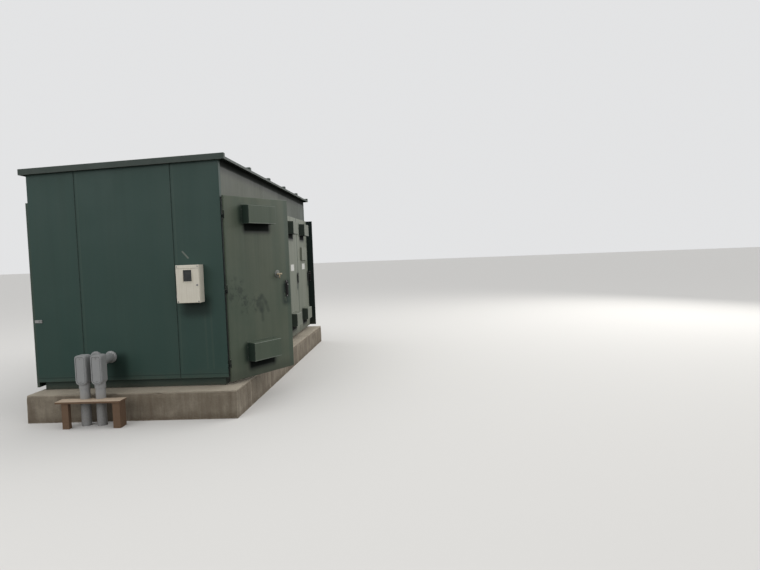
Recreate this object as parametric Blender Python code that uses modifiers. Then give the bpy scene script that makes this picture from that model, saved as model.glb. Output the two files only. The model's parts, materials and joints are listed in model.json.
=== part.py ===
"""Outdoor sheet-steel switchgear enclosure on a concrete pad.

Five equal bays with hinged doors along the right side, a front end wall of three
panels, a single-pitch seamed roof that falls to the left, bolted rear covers, and an
end door in the back wall that stands folded open. Metres, +Z up. The origin is on the
ground under the middle of the enclosure, +Y runs along its length, away from the front
end wall, and +X points out through the row of doors.
"""
import math

import bmesh
import bpy
from mathutils import Matrix, Vector

# Driving dimensions of the enclosure
BAY_COUNT = 5
BAY_PITCH = 1.067
WIDTH = 2.134
FIT = 0.0003
SHEET = 0.003
BEND_RADIUS = 0.005
BEND_SEGMENTS = 2
OVERRUN = 0.02

# Concrete pad
PAD_HEIGHT = 0.305
PAD_FRONT_REACH = 0.23
PAD_BACK_REACH = 0.02
PAD_LEFT_REACH = 0.005
PAD_RIGHT_REACH = 0.15
PAD_RIGHT_SPLAY = 0.09
PAD_CHAMFER = 0.015

# Base channel and floor
BASE_HEIGHT = 0.09
BASE_INSET = 0.045
BASE_FLANGE = 0.075
BASE_SHEET = 0.006
FLOOR_THICKNESS = 0.005

# Walls
WALL_DEPTH = 0.06
WALL_LIP = 0.02
PANEL_SEAM = 0.0015
SIDE_PANEL_SHARE = 0.25
POST_WIDTH = 0.05
POST_LIP = 0.012

# Roof
ROOF_MIDDLE_HEIGHT = 2.4445
ROOF_SLOPE_SHARE = 0.0362
ROOF_RIGHT_REACH = 0.08
ROOF_LEFT_REACH = 0.055
ROOF_DRIP = 0.03
SEAM_CAP_HEIGHT = 0.035
SEAM_CAP_WIDTH = 0.05
SEAM_CAP_CHAMFER = 0.008
TRIM_REACH = 0.048
TRIM_RISE = 0.035

# Doors
DOOR_PROUD = 0.03
DOOR_DEPTH = 0.025
DOOR_LIP = 0.018
DOOR_BOTTOM = 0.035
DOOR_BAND = 0.3695
DOORWAY_LAP = 0.035
HINGE_GAP = 0.016
HINGE_RADIUS = 0.006
HINGE_LENGTH = 0.045
HINGE_TAB = 0.006
HINGE_PLATE = 0.004
HINGE_SIDES = 16
HINGE_HEIGHT_SHARES = (0.1, 0.5, 0.9)
DOOR_1_AJAR_DEG = 29.0
END_DOOR_OPEN_DEG = 180.0
END_DOOR_LEFT_MARGIN = 0.25
END_DOOR_RIGHT_MARGIN = 0.872
END_DOORWAY_LAP = 0.022

# Rain hoods and the slots behind them
HOOD_WIDTH = 0.45
HOOD_HEIGHT = 0.21
HOOD_DEPTH = 0.1
HOOD_FALL = 0.006
HOOD_SHEET = 0.002
HOOD_SHIFT = 0.03
UPPER_HOOD_DROP = 0.091
LOWER_HOOD_RISE = 0.185
SLOT_COUNT = 3
SLOT_HEIGHT = 0.018
SLOT_PITCH = 0.045
SLOT_SIDE_MARGIN = 0.05
SLOT_FIRST_HEIGHT = 0.06

# Cover plate over an opening in the last door
COVER_PLATE_WIDTH = 0.5
COVER_PLATE_HEIGHT = 0.24
COVER_PLATE_DEPTH = 0.035
COVER_PLATE_DROP = 0.52

# Door handles
HANDLE_MIDDLE_HEIGHT = 1.0
HANDLE_EDGE_DISTANCE = 0.075
HANDLE_PLATE_WIDTH = 0.05
HANDLE_PLATE_HEIGHT = 0.2
HANDLE_PLATE_THICKNESS = 0.005
HANDLE_BOSS_RADIUS = 0.014
HANDLE_REACH = 0.02
LEVER_THICKNESS = 0.008
LEVER_WIDTH = 0.022
LEVER_LENGTH = 0.15
HANDLE_EDGE_ROUNDING = 0.002

# Bolted rear covers
COVER_SEAM = 0.016
COVER_PROUD = 0.03
HASP_LENGTH = 0.083
HASP_HEIGHT = 0.033
HASP_THICKNESS = 0.006
HASP_MIDDLE_HEIGHT = 0.77

# Meter box on the front wall
METER_LEFT_X = 0.598
METER_WIDTH = 0.251
METER_BOTTOM = 0.93
METER_HEIGHT = 0.405
METER_DEPTH = 0.15
METER_COVER_THICKNESS = 0.018
METER_WALL = 0.004
METER_ROUNDING = 0.006
WINDOW_WIDTH = 0.092
WINDOW_HEIGHT = 0.122
WINDOW_TOP_MARGIN = 0.053
WINDOW_THICKNESS = 0.005
WINDOW_LAP = 0.008

# Conduits that rise from the ground and turn into the front wall
CONDUIT_XS = (-0.356, -0.189)
CONDUIT_Y = -0.345
CONDUIT_RADIUS = 0.05
CONDUIT_SIDES = 32
FITTING_WIDTH = 0.12
FITTING_DEPTH = 0.118
FITTING_BOTTOM = 0.13
FITTING_HEIGHT = 0.31
FITTING_LOWER_ROUNDING = 0.045
FITTING_UPPER_ROUNDING = 0.028
FITTING_BACK_ROUNDING = 0.02
FITTING_SEGMENTS = 4
FITTING_COVER_THICKNESS = 0.008
FITTING_COVER_MARGIN = 0.004
NIPPLE_HEIGHT = 0.355
NIPPLE_SKEW = 0.045
SOCKET_RADIUS = 0.055
SOCKET_HEIGHT = 0.04
SOCKET_OVERLAP = 0.03

# Loose board round the conduits
BOARD_LEFT_X = -0.597
BOARD_RIGHT_X = 0.085
BOARD_FRONT_Y = -0.5
BOARD_BACK_Y = -0.35
BOARD_TOP_DROP = 0.02
BOARD_THICKNESS = 0.02
BOARD_NOTCH_CLEARANCE = 0.0004
BOARD_BLOCK_WIDTH = 0.075
BOARD_BLOCK_INSET = 0.01
LEFT_BLOCK_INSET = 0.062
LEFT_BLOCK_WIDTH = 0.07
LEFT_BLOCK_DEPTH = 0.05

# Places worked out from the dimensions above
LENGTH = BAY_COUNT * BAY_PITCH
HALF_WIDTH = WIDTH / 2
HALF_LENGTH = LENGTH / 2
DECK = PAD_HEIGHT
WALL_BOTTOM = DECK + BASE_HEIGHT + FIT
DOOR_TOP = ROOF_MIDDLE_HEIGHT - DOOR_BAND
DOORWAY_TOP = DOOR_TOP - DOORWAY_LAP
HOOD_BOTTOMS = {
    "upper": DOOR_TOP - UPPER_HOOD_DROP - HOOD_HEIGHT,
    "lower": DOOR_BOTTOM + LOWER_HOOD_RISE,
}
END_DOOR_HINGE_X = HALF_WIDTH - END_DOOR_RIGHT_MARGIN
END_DOOR_WIDTH = WIDTH - END_DOOR_LEFT_MARGIN - END_DOOR_RIGHT_MARGIN - HINGE_GAP / 2
PAINTED = 0.0

# Finishes: colour, roughness and metallic
GREEN = ((0.033, 0.052, 0.045), 0.45, PAINTED)
DOOR_GREEN = ((0.09, 0.105, 0.08), 0.5, PAINTED)
BASE_GREEN = ((0.02, 0.03, 0.027), 0.6, PAINTED)
CONCRETE = ((0.3, 0.27, 0.22), 0.9, PAINTED)
PVC = ((0.24, 0.25, 0.25), 0.5, PAINTED)
BEIGE = ((0.58, 0.55, 0.46), 0.5, PAINTED)
TIMBER = ((0.28, 0.18, 0.11), 0.85, PAINTED)
BLACK = ((0.01, 0.01, 0.01), 0.4, PAINTED)
STEEL = ((0.45, 0.45, 0.44), 0.4, 1.0)
GLASS = ((0.02, 0.025, 0.03), 0.1, PAINTED)


def clear_scene():
    for old in list(bpy.data.objects):
        bpy.data.objects.remove(old)


def new_collection(name):
    collection = bpy.data.collections.new(name)
    bpy.context.scene.collection.children.link(collection)
    return collection


def roof_top(x):
    """Height of the roof deck's upper face at x."""
    return ROOF_MIDDLE_HEIGHT + DECK + ROOF_SLOPE_SHARE * x


def wall_top(x):
    """Height of a wall's upper edge at x, just under the deck sheet."""
    return roof_top(x) - SHEET - FIT


def finish(name, look):
    colour, roughness, metallic = look
    material = bpy.data.materials.new(name + "_finish")
    material.use_nodes = True
    shader = material.node_tree.nodes["Principled BSDF"]
    shader.inputs["Base Color"].default_value = (*colour, 1.0)
    shader.inputs["Roughness"].default_value = roughness
    shader.inputs["Metallic"].default_value = metallic
    material.diffuse_color = (*colour, 1.0)
    return material


def add_object(name, bm, look, parent=None):
    mesh = bpy.data.meshes.new(name)
    bm.to_mesh(mesh)
    bm.free()
    mesh.materials.append(finish(name, look))
    piece = bpy.data.objects.new(name, mesh)
    parts.objects.link(piece)
    piece.parent = parent
    return piece


def add_tool(name, bm, parent=None):
    """A shape that only cuts or joins another."""
    mesh = bpy.data.meshes.new(name)
    bm.to_mesh(mesh)
    bm.free()
    tool = bpy.data.objects.new(name, mesh)
    cutters.objects.link(tool)
    tool.parent = parent
    tool.hide_render = True
    tool.display_type = "WIRE"
    return tool


def combine(piece, tool, operation):
    modifier = piece.modifiers.new(tool.name, "BOOLEAN")
    modifier.operation = operation
    modifier.solver = "EXACT"
    modifier.object = tool


def add_box(bm, low, high):
    low, high = Vector(low), Vector(high)
    size = high - low
    place = Matrix.Translation((low + high) / 2) @ Matrix.Diagonal((*size, 1.0))
    return bmesh.ops.create_cube(bm, size=1.0, matrix=place)["verts"]


def add_cylinder(bm, start, end, radius, sides):
    start, end = Vector(start), Vector(end)
    run = end - start
    turn = run.to_track_quat("Z", "Y").to_matrix().to_4x4()
    place = Matrix.Translation((start + end) / 2) @ turn
    return bmesh.ops.create_cone(
        bm, cap_ends=True, segments=sides, radius1=radius, radius2=radius, depth=run.length, matrix=place
    )["verts"]


def box_mesh(low, high):
    bm = bmesh.new()
    add_box(bm, low, high)
    return bm


def follow_roof(bm, top):
    """Lift or lower the vertices at the height top onto the roof's underside."""
    for vertex in bm.verts:
        if abs(vertex.co.z - top) < FIT:
            vertex.co.z = wall_top(vertex.co.x)


def round_edges(bm, edges, radius, segments=BEND_SEGMENTS):
    bmesh.ops.bevel(
        bm, geom=edges, offset=radius, segments=segments, profile=0.5, affect="EDGES", material=-1
    )


def pan_mesh(low, high, open_side, bend=BEND_RADIUS, lip=0.0, under_roof=False):
    """A box open on one side, such as "-x", bent round the opposite face, with its lip turned in."""
    axis, sign = "xyz".index(open_side[1]), -1 if open_side[0] == "-" else 1
    bm = box_mesh(low, high)
    if under_roof:
        follow_roof(bm, high[2])
    bm.normal_update()
    opening = [face for face in bm.faces if face.normal[axis] * sign > 0.5]
    skin = [face for face in bm.faces if face.normal[axis] * sign < -0.5]
    bends = list(skin[0].edges)
    if lip:
        bmesh.ops.inset_region(bm, faces=opening, thickness=lip, use_even_offset=True)
    bmesh.ops.delete(bm, geom=opening, context="FACES_ONLY")
    round_edges(bm, bends, bend)
    return bm


def give_thickness(piece, sheet=SHEET):
    modifier = piece.modifiers.new("sheet", "SOLIDIFY")
    modifier.thickness = sheet
    modifier.offset = -1.0
    modifier.use_even_offset = True


def add_pan(name, low, high, open_side, look, parent=None, sheet=SHEET, lip=0.0, under_roof=False):
    piece = add_object(name, pan_mesh(low, high, open_side, lip=lip, under_roof=under_roof), look, parent)
    give_thickness(piece, sheet)
    return piece


def add_pad():
    """A slab whose right side splays out towards the back."""
    low = (-HALF_WIDTH - PAD_LEFT_REACH, -HALF_LENGTH - PAD_FRONT_REACH, 0.0)
    high = (HALF_WIDTH + PAD_RIGHT_REACH, HALF_LENGTH + PAD_BACK_REACH, PAD_HEIGHT)
    bm = box_mesh(low, high)
    for vertex in bm.verts:
        if vertex.co.x > 0.0 and vertex.co.y > 0.0:
            vertex.co.x += PAD_RIGHT_SPLAY
    upper = [edge for edge in bm.edges if min(v.co.z for v in edge.verts) > PAD_HEIGHT / 2]
    round_edges(bm, upper, PAD_CHAMFER, 1)
    add_object("concrete_pad", bm, CONCRETE)


def add_base():
    """Four channels, set in from the walls, with their open sides inwards."""
    x, y = HALF_WIDTH - BASE_INSET, HALF_LENGTH - BASE_INSET
    bottom, top = DECK + FIT, DECK + BASE_HEIGHT
    side_y = y - BASE_FLANGE - FIT
    channels = {
        "base_front": ((-x, -y), (x, -y + BASE_FLANGE), "+y"),
        "base_back": ((-x, y - BASE_FLANGE), (x, y), "-y"),
        "base_left": ((-x, -side_y), (-x + BASE_FLANGE, side_y), "+x"),
        "base_right": ((x - BASE_FLANGE, -side_y), (x, side_y), "-x"),
    }
    for name, (low, high, inner_side) in channels.items():
        add_pan(name, (*low, bottom), (*high, top), inner_side, BASE_GREEN, sheet=BASE_SHEET)


def add_floor():
    x, y = HALF_WIDTH - WALL_DEPTH - FIT, HALF_LENGTH - WALL_DEPTH - FIT
    low = (-x, -y, WALL_BOTTOM)
    high = (x, y, WALL_BOTTOM + FLOOR_THICKNESS)
    add_object("floor_plate", box_mesh(low, high), BASE_GREEN)


def add_end_wall_panel(name, left, right, front, bottom=WALL_BOTTOM):
    """One formed panel of the front or back wall, between the x values left and right."""
    if front:
        low_y, high_y, inner_side = -HALF_LENGTH, -HALF_LENGTH + WALL_DEPTH, "+y"
    else:
        low_y, high_y, inner_side = HALF_LENGTH - WALL_DEPTH, HALF_LENGTH, "-y"
    low, high = (left, low_y, bottom), (right, high_y, roof_top(0.0))
    return add_pan(name, low, high, inner_side, GREEN, lip=WALL_LIP, under_roof=True)


def add_front_wall():
    seam = HALF_WIDTH - SIDE_PANEL_SHARE * WIDTH
    half_seam = PANEL_SEAM / 2
    add_end_wall_panel("front_left_panel", -HALF_WIDTH, -seam - half_seam, True)
    add_end_wall_panel("front_middle_panel", -seam + half_seam, seam - half_seam, True)
    corner = add_end_wall_panel("front_right_panel", seam + half_seam, HALF_WIDTH, True)
    add_frame_knuckles(corner, door_axis(1), 0.0)


def add_back_wall():
    """Two panels beside the end doorway and one over it."""
    right_jamb = END_DOOR_HINGE_X - HINGE_GAP / 2 - END_DOORWAY_LAP
    left_jamb = END_DOOR_HINGE_X - HINGE_GAP / 2 - END_DOOR_WIDTH + END_DOORWAY_LAP
    add_end_wall_panel("back_left_panel", -HALF_WIDTH, left_jamb, False)
    right = add_end_wall_panel("back_right_panel", right_jamb, HALF_WIDTH, False)
    add_end_wall_panel("back_header", left_jamb + FIT, right_jamb - FIT, False, DECK + DOORWAY_TOP)
    add_frame_knuckles(right, end_door_axis(), math.radians(90.0))


def door_axis(number):
    """Hinge line of a side door, in the gap between it and the one before."""
    return Vector((HALF_WIDTH + DOOR_PROUD, -HALF_LENGTH + (number - 1) * BAY_PITCH + HINGE_GAP / 2, 0.0))


def end_door_axis():
    return Vector((END_DOOR_HINGE_X, HALF_LENGTH + DOOR_PROUD, 0.0))


def hinge_heights():
    height = DOOR_TOP - DOOR_BOTTOM
    return [DECK + DOOR_BOTTOM + share * height for share in HINGE_HEIGHT_SHARES]


def add_knuckles(name, piece, place, upper, tab_low, tab_high):
    """Join a barrel and its tab to a door or a frame at every hinge height."""
    barrels, tabs = bmesh.new(), bmesh.new()
    for height in hinge_heights():
        low = height + FIT / 2 if upper else height - HINGE_LENGTH
        high = height + HINGE_LENGTH if upper else height - FIT / 2
        add_cylinder(barrels, (0.0, 0.0, low), (0.0, 0.0, high), HINGE_RADIUS, HINGE_SIDES)
        add_box(tabs, (*tab_low, low + HINGE_PLATE), (*tab_high, high - HINGE_PLATE))
    for kind, bm in (("tabs", tabs), ("barrels", barrels)):
        tool = add_tool(name + "_" + kind, bm)
        tool.matrix_world = place
        combine(piece, tool, "UNION")


def add_frame_knuckles(piece, axis, facing):
    place = Matrix.Translation(axis) @ Matrix.Rotation(facing, 4, "Z")
    half_plate = HINGE_PLATE / 2
    add_knuckles(
        piece.name + "_hinge", piece, place, False,
        (-DOOR_PROUD - SHEET / 2, -half_plate), (0.0, half_plate),
    )


def add_right_side():
    """Posts between the doors and the wall band over them."""
    inner = HALF_WIDTH - WALL_DEPTH
    end = HALF_LENGTH - WALL_DEPTH - FIT
    doorway_top = DECK + DOORWAY_TOP
    for number in range(1, BAY_COUNT + 2):
        middle = -HALF_LENGTH + (number - 1) * BAY_PITCH
        near = max(middle - POST_WIDTH / 2, -end)
        far = min(near + POST_WIDTH, end)
        near = far - POST_WIDTH
        name = f"right_post_{number}"
        low, high = (inner, near, WALL_BOTTOM), (HALF_WIDTH, far, doorway_top - FIT)
        post = add_pan(name, low, high, "-x", GREEN, lip=POST_LIP)
        if 1 < number <= BAY_COUNT:
            add_frame_knuckles(post, door_axis(number), 0.0)
    low, high = (inner, -end, doorway_top), (HALF_WIDTH, end, roof_top(0.0))
    add_pan("right_header", low, high, "-x", GREEN, lip=WALL_LIP, under_roof=True)


def add_left_side():
    """One long formed sheet, and five bolted covers outside it."""
    end = HALF_LENGTH - WALL_DEPTH - FIT
    outer = -HALF_WIDTH
    low, high = (outer, -end, WALL_BOTTOM), (outer + WALL_DEPTH, end, roof_top(0.0))
    add_pan("left_wall", low, high, "+x", GREEN, lip=WALL_LIP, under_roof=True)
    for number in range(1, BAY_COUNT + 1):
        near = -HALF_LENGTH + (number - 1) * BAY_PITCH + COVER_SEAM / 2
        far = near + BAY_PITCH - COVER_SEAM
        low = (outer - COVER_PROUD, near, DECK + DOOR_BOTTOM)
        high = (outer - FIT, far, DECK + DOOR_TOP)
        add_pan(f"rear_cover_{number}", low, high, "+x", DOOR_GREEN)


def add_hasp():
    """A strap across the front left corner, from the first rear cover onto the front wall."""
    left = -HALF_WIDTH
    middle = DECK + HASP_MIDDLE_HEIGHT
    low = (left, -HALF_LENGTH - FIT - HASP_THICKNESS, middle - HASP_HEIGHT / 2)
    high = (left + HASP_LENGTH, -HALF_LENGTH - FIT, middle + HASP_HEIGHT / 2)
    add_object("rear_hasp", box_mesh(low, high), STEEL)


def add_roof():
    """Deck sheet with turned-down sides, seam caps across it and a trim at each end."""
    left, right = -HALF_WIDTH - ROOF_LEFT_REACH, HALF_WIDTH + ROOF_RIGHT_REACH
    bm = box_mesh((left, -HALF_LENGTH, -ROOF_DRIP), (right, HALF_LENGTH, 0.0))
    bm.normal_update()
    hidden = [face for face in bm.faces if face.normal.z < -0.5 or abs(face.normal.y) > 0.5]
    bends = [edge for edge in bm.edges if all(v.co.z == 0.0 for v in edge.verts)
             and edge.verts[0].co.x == edge.verts[1].co.x]
    bmesh.ops.delete(bm, geom=hidden, context="FACES_ONLY")
    round_edges(bm, bends, BEND_RADIUS)
    for vertex in bm.verts:
        vertex.co.z += roof_top(vertex.co.x)
    deck = add_object("roof_deck", bm, GREEN)
    give_thickness(deck)
    caps = bmesh.new()
    for number in range(1, BAY_COUNT):
        middle = -HALF_LENGTH + number * BAY_PITCH
        low = (left, middle - SEAM_CAP_WIDTH / 2, -SHEET / 2)
        high = (right, middle + SEAM_CAP_WIDTH / 2, SEAM_CAP_HEIGHT)
        add_box(caps, low, high)
    upper = [edge for edge in caps.edges if all(v.co.z > 0.0 for v in edge.verts)]
    round_edges(caps, upper, SEAM_CAP_CHAMFER, 1)
    for vertex in caps.verts:
        vertex.co.z += roof_top(vertex.co.x)
    combine(deck, add_tool("seam_caps", caps), "UNION")
    for name, low_y, high_y in (
        ("front_gable_trim", -HALF_LENGTH - TRIM_REACH, -HALF_LENGTH - FIT),
        ("back_gable_trim", HALF_LENGTH + FIT, HALF_LENGTH + TRIM_REACH),
    ):
        bm = pan_mesh((left, low_y, -ROOF_DRIP), (right, high_y, TRIM_RISE), "-z")
        for vertex in bm.verts:
            vertex.co.z += roof_top(vertex.co.x)
        give_thickness(add_object(name, bm, GREEN))


def add_hood(name, parent, middle, bottom):
    """A rain hood, open below and against the door."""
    back = FIT + HOOD_SHEET * HOOD_FALL / HOOD_DEPTH
    low = (back, middle - HOOD_WIDTH / 2, DECK + bottom)
    high = (back + HOOD_DEPTH, middle + HOOD_WIDTH / 2, DECK + bottom + HOOD_HEIGHT)
    bm = box_mesh(low, high)
    for vertex in bm.verts:
        if vertex.co.x > HOOD_DEPTH / 2 and vertex.co.z > low[2] + HOOD_HEIGHT / 2:
            vertex.co.z -= HOOD_FALL
    bm.normal_update()
    opening = [face for face in bm.faces if face.normal.x < -0.5 or face.normal.z < -0.5]
    bends = [edge for edge in bm.edges if all(v.co.x > HOOD_DEPTH / 2 for v in edge.verts)
             and not all(v.co.z == low[2] for v in edge.verts)]
    bmesh.ops.delete(bm, geom=opening, context="FACES_ONLY")
    round_edges(bm, bends, BEND_RADIUS)
    give_thickness(add_object(name, bm, DOOR_GREEN, parent), HOOD_SHEET)


def cut_vent_slots(leaf, parent, middle):
    slots = bmesh.new()
    reach = HOOD_WIDTH / 2 - SLOT_SIDE_MARGIN
    for bottom in HOOD_BOTTOMS.values():
        for number in range(SLOT_COUNT):
            height = DECK + bottom + SLOT_FIRST_HEIGHT + number * SLOT_PITCH
            add_box(slots, (-SHEET - OVERRUN / 2, middle - reach, height),
                    (OVERRUN, middle + reach, height + SLOT_HEIGHT))
    combine(leaf, add_tool(leaf.name + "_slots", slots, parent), "DIFFERENCE")


def add_cover_plate(name, parent, middle):
    """A shallow pressed plate that closes an opening in a door."""
    top = DECK + DOOR_TOP - COVER_PLATE_DROP
    low = (FIT, middle - COVER_PLATE_WIDTH / 2, top - COVER_PLATE_HEIGHT)
    high = (COVER_PLATE_DEPTH, middle + COVER_PLATE_WIDTH / 2, top)
    add_pan(name, low, high, "-x", DOOR_GREEN, parent)


def add_handle(name, parent, middle):
    """Backing plate, boss and lever of a door latch."""
    height = DECK + HANDLE_MIDDLE_HEIGHT
    half_width, half_height = HANDLE_PLATE_WIDTH / 2, HANDLE_PLATE_HEIGHT / 2
    bm = box_mesh((FIT, middle - half_width, height - half_height),
                  (FIT + HANDLE_PLATE_THICKNESS, middle + half_width, height + half_height))
    outer = [edge for edge in bm.edges if all(v.co.x > HANDLE_PLATE_THICKNESS / 2 for v in edge.verts)]
    round_edges(bm, outer, HANDLE_EDGE_ROUNDING, 1)
    plate = add_object(name, bm, BLACK, parent)
    pivot = height + half_height / 2
    boss = bmesh.new()
    add_cylinder(boss, (HANDLE_PLATE_THICKNESS / 2, middle, pivot),
                 (HANDLE_REACH - LEVER_THICKNESS / 2, middle, pivot), HANDLE_BOSS_RADIUS, HINGE_SIDES)
    combine(plate, add_tool(name + "_boss", boss, parent), "UNION")
    lever_top = pivot + LEVER_WIDTH
    lever = box_mesh((HANDLE_REACH - LEVER_THICKNESS, middle - LEVER_WIDTH / 2, lever_top - LEVER_LENGTH),
                     (HANDLE_REACH, middle + LEVER_WIDTH / 2, lever_top))
    round_edges(lever, list(lever.edges), HANDLE_EDGE_ROUNDING, 1)
    combine(plate, add_tool(name + "_lever", lever, parent), "UNION")


def add_door(name, axis, facing_deg, open_deg, width, with_hoods):
    """A leaf with its fittings, drawn closed about its hinge line and turned open."""
    hinge = bpy.data.objects.new(name + "_hinge_line", None)
    parts.objects.link(hinge)
    hinge.location = axis
    hinge.rotation_euler.z = math.radians(facing_deg - open_deg)
    near, far = HINGE_GAP / 2, HINGE_GAP / 2 + width
    middle = (near + far) / 2
    low, high = (-DOOR_DEPTH, near, DECK + DOOR_BOTTOM), (0.0, far, DECK + DOOR_TOP)
    leaf = add_pan(name, low, high, "-x", DOOR_GREEN, hinge, lip=DOOR_LIP)
    hood_middle = middle - HOOD_SHIFT
    if with_hoods:
        cut_vent_slots(leaf, hinge, hood_middle)
    bpy.context.view_layer.update()
    add_knuckles(
        name + "_hinge", leaf, hinge.matrix_world, True,
        (-HINGE_RADIUS - HINGE_TAB / 2, 0.0), (-HINGE_RADIUS + HINGE_TAB / 2, near + SHEET / 2),
    )
    add_handle(name + "_handle", hinge, far - HANDLE_EDGE_DISTANCE)
    if with_hoods:
        for level, bottom in HOOD_BOTTOMS.items():
            add_hood(f"{name}_{level}_hood", hinge, hood_middle, bottom)
    return hinge, middle


def add_doors():
    for number in range(1, BAY_COUNT + 1):
        opening = DOOR_1_AJAR_DEG if number == 1 else 0.0
        last = add_door(f"door_{number}", door_axis(number), 0.0, opening, BAY_PITCH - HINGE_GAP, True)
    add_cover_plate(f"door_{BAY_COUNT}_cover_plate", *last)
    add_door("end_door", end_door_axis(), 90.0, END_DOOR_OPEN_DEG, END_DOOR_WIDTH, False)


def add_meter_box():
    """A box on the front wall with a cover that has a dark window."""
    wall = -HALF_LENGTH - FIT
    front = -HALF_LENGTH - METER_DEPTH
    left, right = METER_LEFT_X, METER_LEFT_X + METER_WIDTH
    bottom, top = DECK + METER_BOTTOM, DECK + METER_BOTTOM + METER_HEIGHT
    cover_back = front + METER_COVER_THICKNESS
    body = pan_mesh((left, cover_back + FIT, bottom), (right, wall, top), "-y", METER_ROUNDING)
    give_thickness(add_object("meter_box", body, BEIGE), METER_WALL)
    bm = box_mesh((left, front, bottom), (right, cover_back, top))
    round_edges(bm, [edge for edge in bm.edges if all(v.co.y < front + FIT for v in edge.verts)], METER_ROUNDING)
    cover = add_object("meter_box_cover", bm, BEIGE)
    window_left = (left + right - WINDOW_WIDTH) / 2
    window_top = top - WINDOW_TOP_MARGIN
    sight = ((window_left, window_top - WINDOW_HEIGHT), (window_left + WINDOW_WIDTH, window_top))
    rebate = front + METER_COVER_THICKNESS / 2
    hole = box_mesh((sight[0][0], front - OVERRUN, sight[0][1]), (sight[1][0], cover_back + OVERRUN, sight[1][1]))
    seat = box_mesh((sight[0][0] - WINDOW_LAP, rebate, sight[0][1] - WINDOW_LAP),
                    (sight[1][0] + WINDOW_LAP, cover_back + OVERRUN, sight[1][1] + WINDOW_LAP))
    combine(cover, add_tool("window_hole", hole), "DIFFERENCE")
    combine(cover, add_tool("window_seat", seat), "DIFFERENCE")
    lap = WINDOW_LAP - FIT
    pane = box_mesh((sight[0][0] - lap, rebate + FIT, sight[0][1] - lap),
                    (sight[1][0] + lap, rebate + FIT + WINDOW_THICKNESS, sight[1][1] + lap))
    add_object("meter_box_window", pane, GLASS)


def rounded_slab(low, high):
    """A box with the outline of an access fitting: its edges along Y are rounded, most at the bottom."""
    bm = box_mesh(low, high)
    middle = (low[2] + high[2]) / 2
    for radius, lower in ((FITTING_LOWER_ROUNDING, True), (FITTING_UPPER_ROUNDING, False)):
        corners = [edge for edge in bm.edges if abs(edge.verts[0].co.y - edge.verts[1].co.y) > FIT
                   and (edge.verts[0].co.z < middle) == lower]
        round_edges(bm, corners, radius, FITTING_SEGMENTS)
    return bm


def add_conduit(name, x):
    """A riser out of the ground, an access fitting on top and a slightly skewed nipple into the wall."""
    y = CONDUIT_Y - HALF_LENGTH
    bottom, top = DECK + FITTING_BOTTOM, DECK + FITTING_BOTTOM + FITTING_HEIGHT
    half_width, half_depth = FITTING_WIDTH / 2, FITTING_DEPTH / 2
    bm = rounded_slab((x - half_width, y - half_depth, bottom), (x + half_width, y + half_depth, top))
    back_rim = [edge for edge in bm.edges if all(v.co.y > y for v in edge.verts)]
    round_edges(bm, back_rim, FITTING_BACK_ROUNDING, FITTING_SEGMENTS)
    fitting = add_object(name, bm, PVC)
    cover_x, cover_y = half_width - FITTING_COVER_MARGIN, y - half_depth
    cover = rounded_slab(
        (x - cover_x, cover_y - FITTING_COVER_THICKNESS, bottom + FITTING_COVER_MARGIN),
        (x + cover_x, cover_y + FITTING_COVER_THICKNESS, top - FITTING_COVER_MARGIN),
    )
    combine(fitting, add_tool(name + "_cover", cover), "UNION")
    riser = bmesh.new()
    add_cylinder(riser, (x, y, 0.0), (x, y, bottom + SOCKET_OVERLAP / 2), CONDUIT_RADIUS, CONDUIT_SIDES)
    combine(fitting, add_tool(name + "_riser", riser), "UNION")
    socket = bmesh.new()
    add_cylinder(socket, (x, y, bottom - SOCKET_HEIGHT), (x, y, bottom + SOCKET_OVERLAP),
                 SOCKET_RADIUS, CONDUIT_SIDES)
    combine(fitting, add_tool(name + "_socket", socket), "UNION")
    nipple = bmesh.new()
    height = DECK + NIPPLE_HEIGHT
    add_cylinder(nipple, (x, y, height), (x, -HALF_LENGTH - FIT, height), CONDUIT_RADIUS, CONDUIT_SIDES)
    for vertex in nipple.verts:
        if vertex.co.y > y + half_depth:
            vertex.co.x -= NIPPLE_SKEW
    combine(fitting, add_tool(name + "_nipple", nipple), "UNION")


def add_board():
    """A board notched round the two risers, on a block in front of them and one at its right end."""
    top = DECK - BOARD_TOP_DROP
    front, back = BOARD_FRONT_Y - HALF_LENGTH, BOARD_BACK_Y - HALF_LENGTH
    bm = box_mesh((BOARD_LEFT_X, front, top - BOARD_THICKNESS), (BOARD_RIGHT_X, back, top))
    board = add_object("loose_board", bm, TIMBER)
    notches = bmesh.new()
    for x in CONDUIT_XS:
        y = CONDUIT_Y - HALF_LENGTH
        add_cylinder(notches, (x, y, top - BOARD_THICKNESS - OVERRUN), (x, y, top + OVERRUN),
                     CONDUIT_RADIUS + BOARD_NOTCH_CLEARANCE, CONDUIT_SIDES)
    combine(board, add_tool("riser_notches", notches), "DIFFERENCE")
    blocks = bmesh.new()
    block_top = top - BOARD_THICKNESS / 2
    near = front + BOARD_BLOCK_INSET
    left = BOARD_LEFT_X + LEFT_BLOCK_INSET
    add_box(blocks, (left, near, 0.0), (left + LEFT_BLOCK_WIDTH, near + LEFT_BLOCK_DEPTH, block_top))
    right = BOARD_RIGHT_X - BOARD_BLOCK_INSET
    add_box(blocks, (right - BOARD_BLOCK_WIDTH, near, 0.0), (right, back - BOARD_BLOCK_INSET, block_top))
    combine(board, add_tool("board_blocks", blocks), "UNION")


clear_scene()
parts = new_collection("switchgear_enclosure")
cutters = new_collection("cutters")
add_pad()
add_base()
add_floor()
add_front_wall()
add_back_wall()
add_right_side()
add_left_side()
add_hasp()
add_roof()
add_doors()
add_meter_box()
for side, place_x in zip(("left", "right"), CONDUIT_XS):
    add_conduit("conduit_" + side, place_x)
add_board()
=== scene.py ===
"""Looks of an outdoor sheet-steel switchgear enclosure: finishes, small fittings, light and camera."""
import json
import math

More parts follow.
